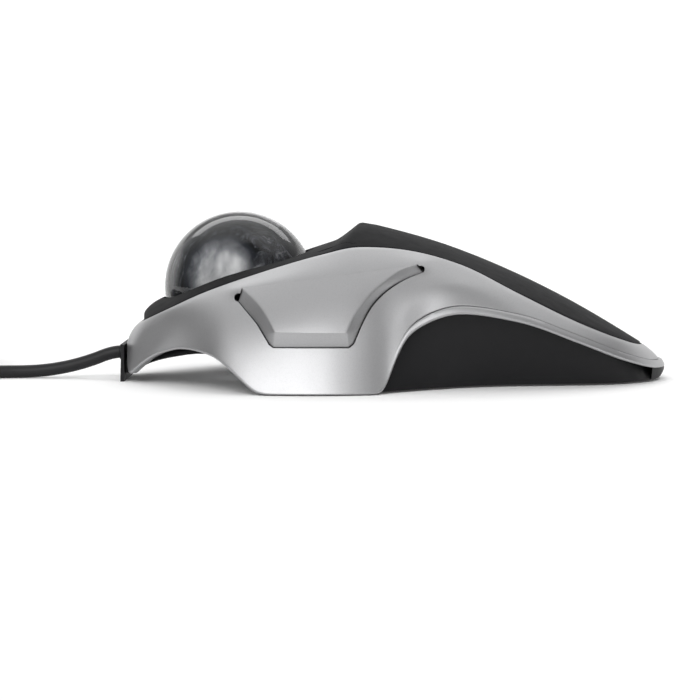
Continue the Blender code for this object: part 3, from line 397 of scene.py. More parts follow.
def smooth_group():
    """A node group that welds a mesh and shades it smooth except along edges sharper than an angle."""
    found = bpy.data.node_groups.get("weld_and_smooth")
    if found:
        return found
    group = bpy.data.node_groups.new("weld_and_smooth", "GeometryNodeTree")
    group.interface.new_socket("Geometry", in_out="INPUT", socket_type="NodeSocketGeometry")
    group.interface.new_socket("Angle", in_out="INPUT", socket_type="NodeSocketFloat")
    group.interface.new_socket("Geometry", in_out="OUTPUT", socket_type="NodeSocketGeometry")
    add, wire = group.nodes.new, group.links.new
    start, end = add("NodeGroupInput"), add("NodeGroupOutput")
    plain = add("GeometryNodeRemoveAttribute")
    plain.inputs["Name"].default_value = "custom_normal"
    merge = add("GeometryNodeMergeByDistance")
    merge.inputs["Distance"].default_value = 1e-6
    smooth = add("GeometryNodeSetShadeSmooth")
    smooth.domain = "FACE"
    smooth.inputs["Shade Smooth"].default_value = True
    bend = add("GeometryNodeInputMeshEdgeAngle")
    sharp = add("FunctionNodeCompare")
    sharp.data_type = "FLOAT"
    sharp.operation = "GREATER_THAN"
    edges = add("GeometryNodeSetShadeSmooth")
    edges.domain = "EDGE"
    edges.inputs["Shade Smooth"].default_value = False
    wire(start.outputs["Geometry"], plain.inputs["Geometry"])
    wire(plain.outputs["Geometry"], merge.inputs["Geometry"])
    wire(merge.outputs["Geometry"], smooth.inputs["Geometry"])
    wire(smooth.outputs["Geometry"], edges.inputs["Geometry"])
    wire(bend.outputs["Unsigned Angle"], sharp.inputs["A"])
    wire(start.outputs["Angle"], sharp.inputs["B"])
    wire(sharp.outputs["Result"], edges.inputs["Selection"])
    wire(edges.outputs["Geometry"], end.inputs["Geometry"])
    return group


# ---------------------------------------------------------------- materials


class Paint:
    """A procedural material being built: a Principled shader and the nodes that feed it."""

    def __init__(self, name):
        self.material = bpy.data.materials.new(name)
        self.material.use_nodes = True
        self.tree = self.material.node_tree
        self.shader = self.tree.nodes["Principled BSDF"]
        self.coords = self.tree.nodes.new("ShaderNodeTexCoord").outputs["Object"]

    def set(self, **values):
        for name, value in values.items():
            self.shader.inputs[name.replace("_", " ")].default_value = value
        return self

    def link(self, output, name):
        self.tree.links.new(output, self.shader.inputs[name])

    def noise(self, size_mm, detail=3.0, roughness=0.5, stretch=(1, 1, 1), distortion=0.0):
        """A noise field whose features are about size_mm across."""
        mapping = self.tree.nodes.new("ShaderNodeMapping")
        mapping.inputs["Scale"].default_value = stretch
        self.tree.links.new(self.coords, mapping.inputs["Vector"])
        field = self.tree.nodes.new("ShaderNodeTexNoise")
        field.inputs["Scale"].default_value = 1.0 / (size_mm * MM)
        field.inputs["Detail"].default_value = detail
        field.inputs["Roughness"].default_value = roughness
        field.inputs["Distortion"].default_value = distortion
        self.tree.links.new(mapping.outputs["Vector"], field.inputs["Vector"])
        return field.outputs["Fac"]

    def cells(self, size_mm):
        """Random values in cells of about size_mm."""
        field = self.tree.nodes.new("ShaderNodeTexVoronoi")
        field.inputs["Scale"].default_value = 1.0 / (size_mm * MM)
        self.tree.links.new(self.coords, field.inputs["Vector"])
        return field.outputs["Color"]

    def spread(self, value, low, high, span=(0.3, 0.7)):
        """The value's middle span stretched over low to high."""
        node = self.tree.nodes.new("ShaderNodeMapRange")
        node.inputs["From Min"].default_value, node.inputs["From Max"].default_value = span
        node.inputs["To Min"].default_value, node.inputs["To Max"].default_value = low, high
        self.tree.links.new(value, node.inputs["Value"])
        return node.outputs["Result"]

    def math(self, operation, a, b):
        node = self.tree.nodes.new("ShaderNodeMath")
        node.operation = operation
        for socket, value in zip(node.inputs, (a, b)):
            if isinstance(value, (int, float)):
                socket.default_value = value
            else:
                self.tree.links.new(value, socket)
        return node.outputs["Value"]

    def ramp(self, value, stops):
        """Colours at positions along a value."""
        node = self.tree.nodes.new("ShaderNodeValToRGB")
        band = node.color_ramp.elements
        while len(band) < len(stops):
            band.new(0.5)
        for element, (position, colour) in zip(band, stops):
            element.position = position
            element.color = (*colour, 1.0)
        self.tree.links.new(value, node.inputs["Fac"])
        return node.outputs["Color"]

    def bump(self, height, depth_mm, strength=1.0):
        node = self.tree.nodes.new("ShaderNodeBump")
        node.inputs["Distance"].default_value = depth_mm * MM
        node.inputs["Strength"].default_value = strength
        self.tree.links.new(height, node.inputs["Height"])
        self.link(node.outputs["Normal"], "Normal")
        return self

    def tone(self, colour, share, size_mm):
        """A base colour that drifts by a share of itself over patches of about size_mm."""
        dark = [c * (1 - share) for c in colour]
        light = [min(c * (1 + share), 1.0) for c in colour]
        self.link(self.ramp(self.noise(size_mm), [(0.3, dark), (0.7, light)]), "Base Color")
        return self

    def sheen_drift(self, roughness, drift, size_mm):
        self.link(self.spread(self.noise(size_mm, 4.0), roughness - drift, roughness + drift), "Roughness")
        return self


def silver_paint():
    """Fine metal flakes under lacquer, with painted shade: an ambient-occlusion mask darkens the colour in
    seams, slots and creases.
    """
    paint = Paint("silver_paint_fine").set(Metallic=0.82, IOR=1.5)
    flakes = paint.cells(0.16)
    # painted shade: ambient occlusion darkens the base colour in seams, slots and the rim's crease
    painted_crevice_shade = paint.tree.nodes.new("ShaderNodeAmbientOcclusion")
    painted_crevice_shade.samples = 8
    painted_crevice_shade.inputs["Distance"].default_value = PAINTED_SHADE_REACH * MM
    sparkle = paint.spread(flakes, 0.9, 1.1, (0.0, 1.0))
    depth = paint.spread(painted_crevice_shade.outputs["AO"], 0.10, 1.0, (0.25, 0.80))
    value = paint.math("MULTIPLY", sparkle, depth)
    paint.link(paint.ramp(value, [(0.0, (0.0, 0.0, 0.0)), (1.0, (0.40, 0.40, 0.407))]), "Base Color")
    paint.sheen_drift(0.40, 0.015, 9.0)
    return paint.bump(flakes, 0.002, 0.2).material


def moulded(name, colour, roughness, grain_mm=0.35, grain_depth=0.02, drift=0.04, **values):
    """Moulded plastic or rubber with a fine spark-eroded grain."""
    paint = Paint(name).set(**values)
    paint.tone(colour, 0.10, 14.0)
    paint.sheen_drift(roughness, drift, 3.0)
    return paint.bump(paint.noise(grain_mm, 2.0), grain_depth).material


def metal(name, colour, roughness, brush=(1, 1, 1)):
    paint = Paint(name).set(Metallic=1.0)
    paint.tone(colour, 0.06, 3.0)
    lines = paint.noise(0.3, 2.0, stretch=brush)
    paint.link(paint.spread(lines, roughness - 0.06, roughness + 0.06), "Roughness")
    return paint.bump(lines, 0.004, 0.5).material


def clear_resin():
    paint = Paint("clear_resin_fine").set(IOR=1.49, Transmission_Weight=1.0, Specular_IOR_Level=0.25)
    paint.tone((0.93, 0.94, 0.95), 0.02, 8.0)
    paint.link(paint.spread(paint.noise(2.0, 2.0), 0.008, 0.02), "Roughness")
    return paint.material


def pearl_resin():
    """Dark resin with a pearly cloud and thin wisps; the cloud is packed on the side that faces the front
    light, a painted highlight on top of the real pearl.
    """
    paint = Paint("pearl_resin_fine").set(IOR=1.45, Specular_IOR_Level=0.1)
    # painted highlight: the pearly cloud is strongest round a point on the side that faces the front light
    place = paint.tree.nodes.new("ShaderNodeVectorMath")
    place.operation = "DISTANCE"
    place.inputs[1].default_value = [c * CORE_RADIUS * MM for c in (-0.39, -0.86, 0.34)]
    paint.tree.links.new(paint.coords, place.inputs[0])
    near = paint.spread(place.outputs["Value"], 1.0, 0.0, (0.34 * CORE_RADIUS * MM, 0.80 * CORE_RADIUS * MM))
    cloud = paint.noise(9.0, 5.0, 0.55, distortion=1.2)
    wisps = paint.noise(4.2, 6.0, 0.62, stretch=(1.0, 1.0, 0.42), distortion=2.2)
    thin = paint.spread(wisps, 0.0, 1.0, (0.46, 0.72))
    faint = paint.spread(cloud, 0.15, 0.75, (0.35, 0.62))
    veil = paint.math("MULTIPLY", thin, faint)
    body = paint.math("MULTIPLY", near, paint.spread(cloud, 0.45, 1.0, (0.30, 0.62)))
    value = paint.math("MAXIMUM", body, veil)
    stops = [
        (0.0, (0.004, 0.0045, 0.006)),
        (0.2, (0.030, 0.032, 0.040)),
        (0.55, (0.24, 0.245, 0.26)),
        (1.0, (0.72, 0.72, 0.72)),
    ]
    paint.link(paint.ramp(value, stops), "Base Color")
    paint.link(paint.spread(wisps, 0.30, 0.50), "Roughness")
    return paint.bump(wisps, 0.05, 0.5).material


def circuit_board():
    """Solder mask with faint tracks under it."""
    paint = Paint("circuit_board_fine").set(IOR=1.5)
    brick = paint.tree.nodes.new("ShaderNodeTexBrick")
    brick.inputs["Scale"].default_value = 260.0
    brick.inputs["Mortar Size"].default_value = 0.03
    brick.inputs["Color1"].default_value = (0.015, 0.12, 0.05, 1)
    brick.inputs["Color2"].default_value = (0.018, 0.14, 0.06, 1)
    brick.inputs["Mortar"].default_value = (0.05, 0.26, 0.12, 1)
    paint.tree.links.new(paint.coords, brick.inputs["Vector"])
    paint.link(brick.outputs["Color"], "Base Color")
    paint.sheen_drift(0.35, 0.08, 1.0)
    return paint.bump(brick.outputs["Fac"], 0.03, 0.6).material


def tinted(name, colour, roughness, transmission):
    paint = Paint(name).set(IOR=1.49, Transmission_Weight=transmission)
    paint.tone(colour, 0.05, 1.5)
    paint.sheen_drift(roughness, 0.03, 0.8)
    return paint.material


def make_materials():
    black_grain = {"grain_mm": 0.5, "grain_depth": 0.012, "Specular_IOR_Level": 0.25}
    cord_grain = {"grain_mm": 0.4, "grain_depth": 0.012, "Specular_IOR_Level": 0.3}
    return {
        "silver_paint": silver_paint(),
        "dark_plastic": moulded("dark_plastic_fine", (0.014, 0.014, 0.015), 0.70, 0.30, 0.022, IOR=1.2),
        "black_plastic": moulded("black_plastic_fine", (0.007, 0.007, 0.008), 0.5, **black_grain),
        "clear_resin": clear_resin(),
        "pearl_resin": pearl_resin(),
        "bearing_steel": metal("bearing_steel_fine", (0.70, 0.70, 0.72), 0.12),
        "circuit_board": circuit_board(),
        "chip_plastic": moulded("chip_plastic_fine", (0.016, 0.016, 0.017), 0.6, 0.2, 0.01),
        "tin_plate": metal("tin_plate_fine", (0.66, 0.66, 0.67), 0.26, brush=(0.08, 1, 1)),
        "lens_plastic": tinted("lens_plastic_fine", (0.88, 0.88, 0.90), 0.05, 0.9),
        "led_red": tinted("led_red_fine", (0.70, 0.05, 0.04), 0.15, 0.5),
        "connector_white": moulded("connector_white_fine", (0.74, 0.73, 0.68), 0.45, 0.4, 0.01),
        "capacitor_sleeve": moulded("capacitor_sleeve_fine", (0.03, 0.04, 0.13), 0.3, 0.6, 0.004),
        "switch_black": moulded("switch_black_fine", (0.02, 0.02, 0.022), 0.45, 0.3, 0.01),
        "switch_red": moulded("switch_red_fine", (0.5, 0.05, 0.04), 0.4, 0.3, 0.008),
        "cord_black": moulded("cord_black_fine", (0.010, 0.010, 0.011), 0.5, **cord_grain),
        "foot_rubber": moulded("foot_rubber_fine", (0.026, 0.026, 0.026), 0.8, 0.5, 0.03),
        "screw_steel": metal("screw_steel_fine", (0.45, 0.45, 0.47), 0.3),
    }


def dress(obj, slot):
    """Gives a piece its material."""
    obj.data.materials.clear()
    obj.data.materials.append(MATERIALS[slot])
    return obj


# ---------------------------------------------------------------- housing and buttons


def flap_swell(x, z, edge):
    """How far the housing's skin swells out, along Y, above the flap's hinge and past its ends."""
    (x0, z0), (x1, z1) = FLAP_FRONT_END, FLAP_REAR_END
    beyond = np.maximum(np.maximum(x0 - x, x - x1), 0)
    hinge = z0 + (x - x0) * (z1 - z0) / (x1 - x0)
    top = np.interp(x, edge[:, 0], edge[:, 2])
    above = (z - hinge) / np.maximum(top - hinge, 0.5)
    below = 1 + (z - hinge) / SWELL_BELOW
    fade = np.where(above > 0, smoothstep(1 - above), smoothstep(below))
    return FLAP_PROUD_TOP * smoothstep(1 - beyond / SWELL_REACH) * fade


def fine_skin():
    """The outer skin in fine rows, with its rim's band and crease and the swell above each button."""
    ribs = rib_loop(AROUND)
    dense = rib_curves(ribs, np.tile(np.linspace(0, 1, 241), (len(ribs), 1)))
    length = walked(dense)
    total = length[:, -1]
    rear = smoothstep((ribs[:, 3] + 1.0) / 10.0)
    band = FRONT_BAND + (BAND_HEIGHT - FRONT_BAND) * rear
    near_band = np.array([0.9, 0.6, 0.3, 0.15, 0.0, -0.15, -0.35])
    stops = []
    for i in range(len(ribs)):
        tail = total[i] - band[i] - near_band
        end = total[i] - RIM_ROUND
        body = np.linspace(TOP_ROUND, tail[0], DOWN)
        stops.append(np.concatenate([body[:-1], tail, [(tail[-1] + end) / 2, end]]))
    stops = np.array(stops)
    t = np.array([np.interp(s, row, np.linspace(0, 1, 241)) for s, row in zip(stops, length)])
    skin = rib_curves(ribs, t)
    normal = outward_normals(skin)
    beyond = (total[:, None] - stops) - band[:, None]
    groove = smoothstep((beyond + 0.15) / 0.3) * (1 - smoothstep((beyond - 0.15) / CREASE_FADE))
    notch = np.clip(1 - np.abs(beyond) / NOTCH_HALF, 0, 1)
    sunk = (CREASE_DEPTH * groove + NOTCH_DEPTH * notch) * rear[:, None]
    inside = skin - SHELL * normal
    skin = skin - sunk[:, :, None] * normal
    edge = inner_edge_line()
    swell = flap_swell(skin[:, :, 0], skin[:, :, 2], edge)
    skin[:, :, 1] += np.sign(skin[:, :, 1]) * swell
    return ribs, skin, stops, inside


def housing_sections(ribs, skin, stops, inside):
    """Closed cross-sections: rounded top edge, skin, rounded rim, inner skin and the cover's seat."""
    normal = outward_normals(skin)
    rim_normal = normal[:, -1]
    down = skin[:, -1] - skin[:, -2]
    down /= np.linalg.norm(down, axis=1)[:, None]
    inward = (ribs[:, 0:3] - ribs[:, 3:6]) * [1, 1, 0]
    inward /= np.linalg.norm(inward, axis=1)[:, None]
    upright = np.array([0.0, 0.0, 1.0])
    sections = []
    for i in range(len(ribs)):
        edge = ribs[i, 0:3]
        top = [edge - TOP_ROUND * upright, edge - 0.3 * TOP_ROUND * upright - 0.05 * inward[i]]
        centre = skin[i, -1] - RIM_ROUND * rim_normal[i]
        roll = [
            centre + RIM_ROUND * (math.cos(a) * rim_normal[i] + math.sin(a) * down[i])
            for a in np.radians([22, 45, 68, 90])
        ]
        level = rim_normal[i] * [1, 1, 0]
        level /= np.linalg.norm(level)
        foot = skin[i, -1] + RIM_ROUND * down[i] - SHELL * level
        highest = int(np.searchsorted(stops[i], 5.2))
        rows = np.linspace(skin.shape[1] - 6, highest, 9).round().astype(int)
        inner = inside[i, rows]
        seat = edge - LEDGE_DROP * upright
        lip = seat + LEDGE_WIDTH * inward[i]
        under = lip - LEDGE_THICKNESS * upright
        sections.append([*top, *skin[i], *roll, foot, *inner, under, lip, seat])
    sections = np.array(sections)
    sections[:, :, 2] = np.maximum(sections[:, :, 2], FOOT_CLEARANCE)
    return sections


def with_relief(outline, x, z, radius):
    """An outline with a round hole's far side in place of the part of it that the hole takes away."""
    ahead = np.roll(outline, -1, axis=0)
    shares = np.linspace(0, 1, RELIEF_STEPS, endpoint=False)[None, :, None]
    fine = (outline[:, None] + (ahead - outline)[:, None] * shares).reshape(-1, 2)
    inside = np.hypot(fine[:, 0] - x, fine[:, 1] - z) < radius
    first = int(np.flatnonzero(inside & ~np.roll(inside, 1))[0])
    fine, inside = np.roll(fine, -first, axis=0), np.roll(inside, -first)
    kept = fine[~inside]
    start, stop = (math.atan2(p[1] - z, p[0] - x) for p in (kept[-1], kept[0]))
    area = np.sum(outline[:, 0] * ahead[:, 1] - ahead[:, 0] * outline[:, 1])
    turn = (stop - start) % math.tau - (math.tau if area < 0 else 0)
    angles = start + turn * np.linspace(0.04, 0.96, RELIEF_SIDES)
    arc = np.column_stack([x + radius * np.cos(angles), z + radius * np.sin(angles)])
    corners = {tuple(p) for p in outline.round(6)}
    ends = (0, len(kept) - 1)
    kept = [p for k, p in enumerate(kept) if k in ends or tuple(p.round(6)) in corners]
    return np.vstack([kept, arc])


def flap_opening():
    """The hole the flap sits in, in side view, with a round relief at each end of its hinge."""
    front = edge_curve(FLAP_FRONT, np.linspace(0, 1, 18))
    rear = edge_curve(FLAP_REAR, np.linspace(0, 1, 24))
    outline = np.array([FLAP_FRONT_END, *front, *FLAP_LIP, *rear[::-1], FLAP_REAR_END])
    for x, z, radius in RELIEFS:
        outline = with_relief(outline, x, z, radius)
    return [tuple(float(c) for c in p) for p in outline]


def upper_housing(ribs, skin, stops, inside):
    sections = housing_sections(ribs, skin, stops, inside)
    around, down = sections.shape[:2]
    faces = ring_faces(around, down)
    shell = mesh_piece("upper_housing_shell", sections.reshape(-1, 3), faces, sharp=50)
    for side in (-1, 1):
        low, high = sorted((side * 24.0, side * 70.0))
        cut(shell, prism_y(f"opening_{side}", flap_opening(), low, high))
    apply_modifiers(shell)
    mesh = shell.data
    mesh.shade_smooth()
    mesh.set_sharp_from_angle(angle=math.radians(50))
    dress(shell, "silver_paint")
    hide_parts("upper_housing")
    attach(shell, "housing")


def flap_lines():
    """Rows down the flap: outer edge and crease at the front, the same at the rear, and the face's height."""
    body = FLAP_ROWS - FLAP_END_ROWS
    ends = np.linspace(0.05, 1, FLAP_END_ROWS, endpoint=False)
    lines = []
    for end, outer, crease in (
        (FLAP_FRONT_END, FLAP_FRONT, FRONT_CREASE),
        (FLAP_REAR_END, FLAP_REAR, REAR_CREASE),
    ):
        start = np.array(outer[0])
        slope = [np.array(end) + (start - end) * s for s in ends]
        edge = edge_curve(outer, np.linspace(0, 0.84, body))
        share = np.concatenate([0.03 * ends, np.linspace(0.045, 1, body)])
        low = edge_curve(outer, np.linspace(0.84, 1, 7))
        lines.append((np.vstack([slope, edge]), edge_curve(crease, share), low))
    rows = []
    (front, front_crease, front_low), (rear, rear_crease, rear_low) = lines
    for j in range(FLAP_ROWS):
        rows.append((front[j], front_crease[j], rear_crease[j], rear[j], 1.0))
    lips = [1 - rise for _, rise in BEVEL_RISE[::-1]]
    for down in [*lips[1:], 1.0][: len(front_low) - 1]:
        a = front_crease[-1] + (np.array(FLAP_LIP[0]) - front_crease[-1]) * down
        b = rear_crease[-1] + (np.array(FLAP_LIP[1]) - rear_crease[-1]) * down
        at = np.linspace(0, 1, len(front_low))
        f = [np.interp(down, at, front_low[:, c]) for c in (0, 1)]
        r = [np.interp(down, at, rear_low[:, c]) for c in (0, 1)]
        rows.append((np.array(f), a, b, np.array(r), 1 - down))
    return rows


def button(name, side, tree):
    """The flap: a smooth face that leaves the housing's skin at its hinge, inside a wide sloping edge."""
    rows = flap_lines()
    columns = 2 * len(BEVEL_RISE) + FLAP_MIDDLE
    outer, inner = [], []
    for j, (front, front_crease, rear_crease, rear, height) in enumerate(rows):
        fall = min(j / (FLAP_ROWS - 1), 1.0)
        crown = FLAP_PROUD_TOP + (FLAP_PROUD_LIP - FLAP_PROUD_TOP) * float(smoothstep(fall))
        sink = FLAP_SINK_TOP + (FLAP_SINK_LIP - FLAP_SINK_TOP) * fall
        front = front + [FLAP_SLIT, 0.0]
        rear = rear - [FLAP_SLIT, 0.0]
        step = 0.3 / float(np.linalg.norm(rear_crease - front_crease))
        places = [(front + (front_crease - front) * s, rise) for s, rise in BEVEL_RISE]
        for s in np.linspace(step, 1 - step, FLAP_MIDDLE):
            places.append((front_crease + (rear_crease - front_crease) * s, 1.0))
        places += [(rear + (rear_crease - rear) * s, rise) for s, rise in BEVEL_RISE[::-1]]
        for (x, z), rise in places:
            if height == 0.0:
                z += FLAP_SLIT
            y = skin_y(tree, x, z)
            lift = -sink + (crown + sink) * rise * height
            outer.append((x, side * (y + lift), z))
            inner.append((x, side * (y - SHELL - 0.4), z))
    offset = len(outer)
    faces = grid_faces(len(rows), columns)
    faces += [[offset + v for v in f] for f in faces]
    rim = [j * columns for j in range(len(rows))]
    rim += [(len(rows) - 1) * columns + i for i in range(1, columns)]
    rim += [j * columns + columns - 1 for j in range(len(rows) - 2, -1, -1)]
    rim += list(range(columns - 2, 0, -1))
    for a, b in zip(rim, rim[1:] + rim[:1]):
        faces.append([a, b, offset + b, offset + a])
    flap = mesh_piece(f"{name}_flap", outer + inner, faces, sharp=24)
    dress(flap, "silver_paint")
    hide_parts(name)
    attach(flap, name)


# ---------------------------------------------------------------- palm cover


def crest_x(y):
    return CREST_X - y * y / (2 * CREST_BEND)


def cover_height(x, y, edge, dome_x, dome_z):
    """Top of the palm cover at a plan place."""
    half_width, edge_z = (float(np.interp(x, edge[:, 0], edge[:, k])) for k in (1, 2))
    crown = 1 - min(abs(y) / max(half_width, 1e-6), 1.0) ** 2.2
    nose_x = DECK_POINT[0]
    nose_round = math.sqrt(max(0.0, 1 - max(0.0, (nose_x - x) / 6.2) ** 2))
    deck = edge_z + (DECK_POINT[1] + DECK_SLOPE * (x - nose_x) - edge_z) * nose_round * crown
    place, reach, rise = DECK_ROLL
    share = min(abs(y) / max(half_width, 1e-6), 1.0)
    deck += rise * (1 - share**6) * float(smoothstep(1 - abs(x - place) / reach))
    dome = float(np.interp(x, dome_x, dome_z))
    palm = edge_z + (dome - edge_z) * crown
    sweep = min(max(1 - (crest_x(y) - x) / SCOOP_LENGTH, 0.0), 1.0)
    return deck + max(palm - deck, 0.0) * sweep**2 if sweep < 1 else palm


def crest_share(hole, out):
    """How far along a spoke the crest lies, or 1 if the spoke misses it."""
    for s in np.linspace(0, 1, 201):
        x, y = hole + out * s
        if x >= crest_x(y):
            return s
    return 1.0


def cover_grid():
    """The cover's top skin, [around, out, xyz], from the ball's opening to the housing's inner edge."""
    ball_x = BALL_CENTRE[0]
    ribs = rib_loop(COVER_AROUND)
    inward = (ribs[:, 0:3] - ribs[:, 3:6]) * [1, 1, 0]
    inward /= np.linalg.norm(inward, axis=1)[:, None]
    rim = ribs[:, 0:3] + SEAM * inward
    line = inner_edge_line()
    dome_x = np.linspace(DOME[0][0], DOME[-1][0], 400)
    dome_z = eased([p[0] for p in DOME], [p[1] for p in DOME], dome_x)[:, 0]
    bearing = np.unwrap(np.arctan2(rim[:, 1], rim[:, 0] - ball_x))
    around = np.sign(bearing[1] - bearing[0]) * 2 * math.pi
    even = bearing[0] + around * np.arange(len(rim)) / len(rim)
    turn = 0.6 * bearing + 0.4 * even
    grid = np.zeros((len(rim), COVER_RINGS + 1, 3))
    mark = COVER_CREST_RING / COVER_RINGS
    for i, angle in enumerate(turn):
        hole = np.array([ball_x + HOLE_RADIUS * math.cos(angle), HOLE_RADIUS * math.sin(angle)])
        out = rim[i, :2] - hole
        crest = crest_share(hole, out)
        for j in range(COVER_RINGS + 1):
            s = j / COVER_RINGS
            if crest < 0.75:
                s = s / mark * crest if s < mark else crest + (s - mark) / (1 - mark) * (1 - crest)
            x, y = hole + out * s
            grid[i, j] = (x, y, cover_height(x, y, line, dome_x, dome_z))
    return grid


def palm_cover():
    """The dark cover: crest edge and outline softened by a hair, the ball's opening with a rolled lip."""
    top = cover_grid()
    top[:, 1:-1, 2] = (top[:, :-2, 2] + 2 * top[:, 1:-1, 2] + top[:, 2:, 2]) / 4
    drop = np.array([0.0, 0.0, 1.0])
    sections = []
    for row in top:
        first = (row[1] - row[0]) / np.linalg.norm(row[1] - row[0])
        last = (row[-2] - row[-1]) / np.linalg.norm(row[-2] - row[-1])
        lip = [row[0] - 0.55 * drop, row[0] - 0.20 * drop + 0.06 * first, row[0] + 0.22 * first]
        edge = [row[-1] + 0.25 * last, row[-1] + 0.05 * last - 0.12 * drop, row[-1] - 0.35 * drop]
        under = row[::-2] - COVER_THICKNESS * drop
        sections.append([*lip, *row[1:-1], *edge, *under])
    sections = np.array(sections)
    around, down = sections.shape[:2]
    cover = mesh_piece("palm_cover", sections.reshape(-1, 3), ring_faces(around, down), sharp=45)
    dress(cover, "dark_plastic")
    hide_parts("top_cover")
    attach(cover, "housing")


# ---------------------------------------------------------------- ball


def globe(name, radius, sides, rings):
    """A sphere about its own origin, placed at the ball's centre."""
    points, loops = [], []
    for k, fall in enumerate(np.linspace(0, math.pi, rings)):
        count = 1 if k in (0, rings - 1) else sides
        reach, z = radius * math.sin(fall) * (count > 1), radius * math.cos(fall)
        loops.append([len(points) + n for n in range(count)])
        turns = np.linspace(0, math.tau, count, endpoint=False)
        points += [(reach * math.cos(a), reach * math.sin(a), z) for a in turns]
    faces = []
    for a, b in zip(loops, loops[1:]):
        for k in range(sides):
            n = (k + 1) % sides
            corners = [a[k % len(a)], a[n % len(a)], b[n % len(b)], b[k % len(b)]]
            faces.append(list(dict.fromkeys(corners)))
    ball = mesh_piece(name, points, faces, sharp=180)
    ball.location = Vector(BALL_CENTRE) * MM
    return ball


def ball():
    shell = dress(globe("ball_clear_layer", BALL_RADIUS, 128, 65), "clear_resin")
    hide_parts("ball_shell")
    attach(shell, "ball_shell")
    core = dress(globe("ball_pearl_core", CORE_RADIUS, 96, 49), "pearl_resin")
    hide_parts("ball_core")
    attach(core, "ball_core")


# ---------------------------------------------------------------- cord


def coil_points():
    """The coil's turns about its centre, wound clockwise in three layers, and the way up onto them."""
    cx, cy = COIL_CENTRE
    points = []
    angle, z = math.radians(-70), CORD_RADIUS + 0.05
    step = math.radians(22.5)

    def wind(turns, start, end, climb=0.0):
        """Steps along a spiral from one radius to another, rising by climb, early on."""
        nonlocal angle, z
        steps = round(turns * 2 * math.pi / step)
        for k in range(1, steps + 1):
            share = k / steps
            radius = start + (end - start) * share
            height = z + climb * math.sin(share * math.pi / 2)
            a = angle - turns * 2 * math.pi * share
            points.append((cx + radius * math.cos(a), cy + radius * math.sin(a), height))
        angle -= turns * 2 * math.pi
        z += climb

    points.append((cx + COIL_OUTER * math.cos(angle), cy + COIL_OUTER * math.sin(angle), z))
    wind(4, COIL_OUTER, COIL_INNER)
    wind(0.5, COIL_INNER, COIL_INNER, LAYER_RISE)
    wind(4, COIL_INNER, COIL_OUTER)
    wind(0.5, COIL_OUTER, COIL_OUTER, LAYER_RISE)
    wind(3.8056, COIL_OUTER, COIL_INNER)
    wind(0.25, COIL_INNER, COIL_INNER, LAYER_RISE)
    return points


def cord_lead():
    cx, cy = COIL_CENTRE
    return [(cx + x, cy + y, z) for x, y, z in CORD_LEAD]


def cord():
    route = CORD_START + coil_points() + cord_lead()
    curve = bpy.data.curves.new("cord", "CURVE")
    curve.dimensions = "3D"
    curve.bevel_depth = CORD_RADIUS * MM
    curve.bevel_resolution = 5
    curve.resolution_u = 6
    curve.use_fill_caps = True
    spline = curve.splines.new("BEZIER")
    spline.bezier_points.add(len(route) - 1)
    for knot, place in zip(spline.bezier_points, route):
        knot.co = Vector(place) * MM
        knot.handle_left_type = knot.handle_right_type = "AUTO"
    obj = bpy.data.objects.new("cord", curve)
    bpy.context.scene.collection.objects.link(obj)
    dress(obj, "cord_black")
    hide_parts("cable", "cable_coil")
    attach(obj, "housing")
    return obj


def sleeve_rings():
    """Rings of the ribbed sleeve that follows the cord's last stretch into the plug's grip."""
    path = np.array(cord_lead()[-5:])
    knots = np.concatenate([[0], np.cumsum(np.linalg.norm(np.diff(path, axis=0), axis=1))])
    length = knots[-1]
    at = np.linspace(length - SLEEVE_LENGTH, length - 0.5, SLEEVE_STEPS * SLEEVE_RIBS + 1)
    middles = eased(knots, path, at)
    ahead = np.gradient(middles, axis=0)
    ahead /= np.linalg.norm(ahead, axis=1)[:, None]
    rings = []
    for k, (middle, way) in enumerate(zip(middles, ahead)):
        share = k / (len(middles) - 1)
        groove = 0.28 if k % SLEEVE_STEPS < 4 and 0 < share < 1 else 0.0
        radius = CORD_RADIUS + 0.35 + 0.75 * share - groove
        side = np.cross(way, [0, 0, 1])
        side /= np.linalg.norm(side)
        above = np.cross(side, way)
        turn = np.linspace(0, 2 * math.pi, 32, endpoint=False)
        rings.append([tuple(middle + radius * (math.cos(a) * side + math.sin(a) * above)) for a in turn])
    return rings


def tube_faces(rings, offset):
    """Quads between rings of equal length, closed at both ends."""
    count = len(rings[0])
    faces = []
    for i in range(len(rings) - 1):
        a, b = offset + i * count, offset + (i + 1) * count
        faces += [[a + k, a + (k + 1) % count, b + (k + 1) % count, b + k] for k in range(count)]
    last = offset + (len(rings) - 1) * count
    return faces + [[offset + k for k in range(count)], [last + k for k in range(count)]]


def usb_plug():
    """The moulded grip and its ribbed strain relief; the metal sleeve is the CAD's."""
    low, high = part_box("usb_plug_body")
    middle = (low + high) / 2 / MM
    size = (high - low) / MM
    sections = []
    shape = [(-0.5, 0.62, 0.70), (-0.47, 0.80, 0.84), (-0.40, 0.92, 0.93), (-0.2, 0.97, 0.97)]
    shape += [(0.0, 0.95, 0.93), (0.2, 0.97, 0.97), (0.42, 1.0, 1.0), (0.485, 0.97, 0.96), (0.5, 0.92, 0.90)]
    for along, wide, tall in shape:
        loop = []
        for k in range(48):
            a = 2 * math.pi * k / 48
            c, s = math.cos(a), math.sin(a)
            y = math.copysign(abs(c) ** 0.42, c) * size.y / 2 * wide
            z = math.copysign(abs(s) ** 0.55, s) * size.z / 2 * tall
            loop.append((middle.x + along * size.x, middle.y + y, middle.z + z))
        sections.append(loop)
    points = [p for loop in sections for p in loop]
    faces = tube_faces(sections, 0)
    rings = sleeve_rings()
    faces += tube_faces(rings, len(points))
    points += [p for ring in rings for p in ring]
    grip = dress(mesh_piece("usb_plug_grip", points, faces, sharp=50), "cord_black")
    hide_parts("usb_plug_body")
    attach(grip, "housing")
    return grip


# ---------------------------------------------------------------- stage


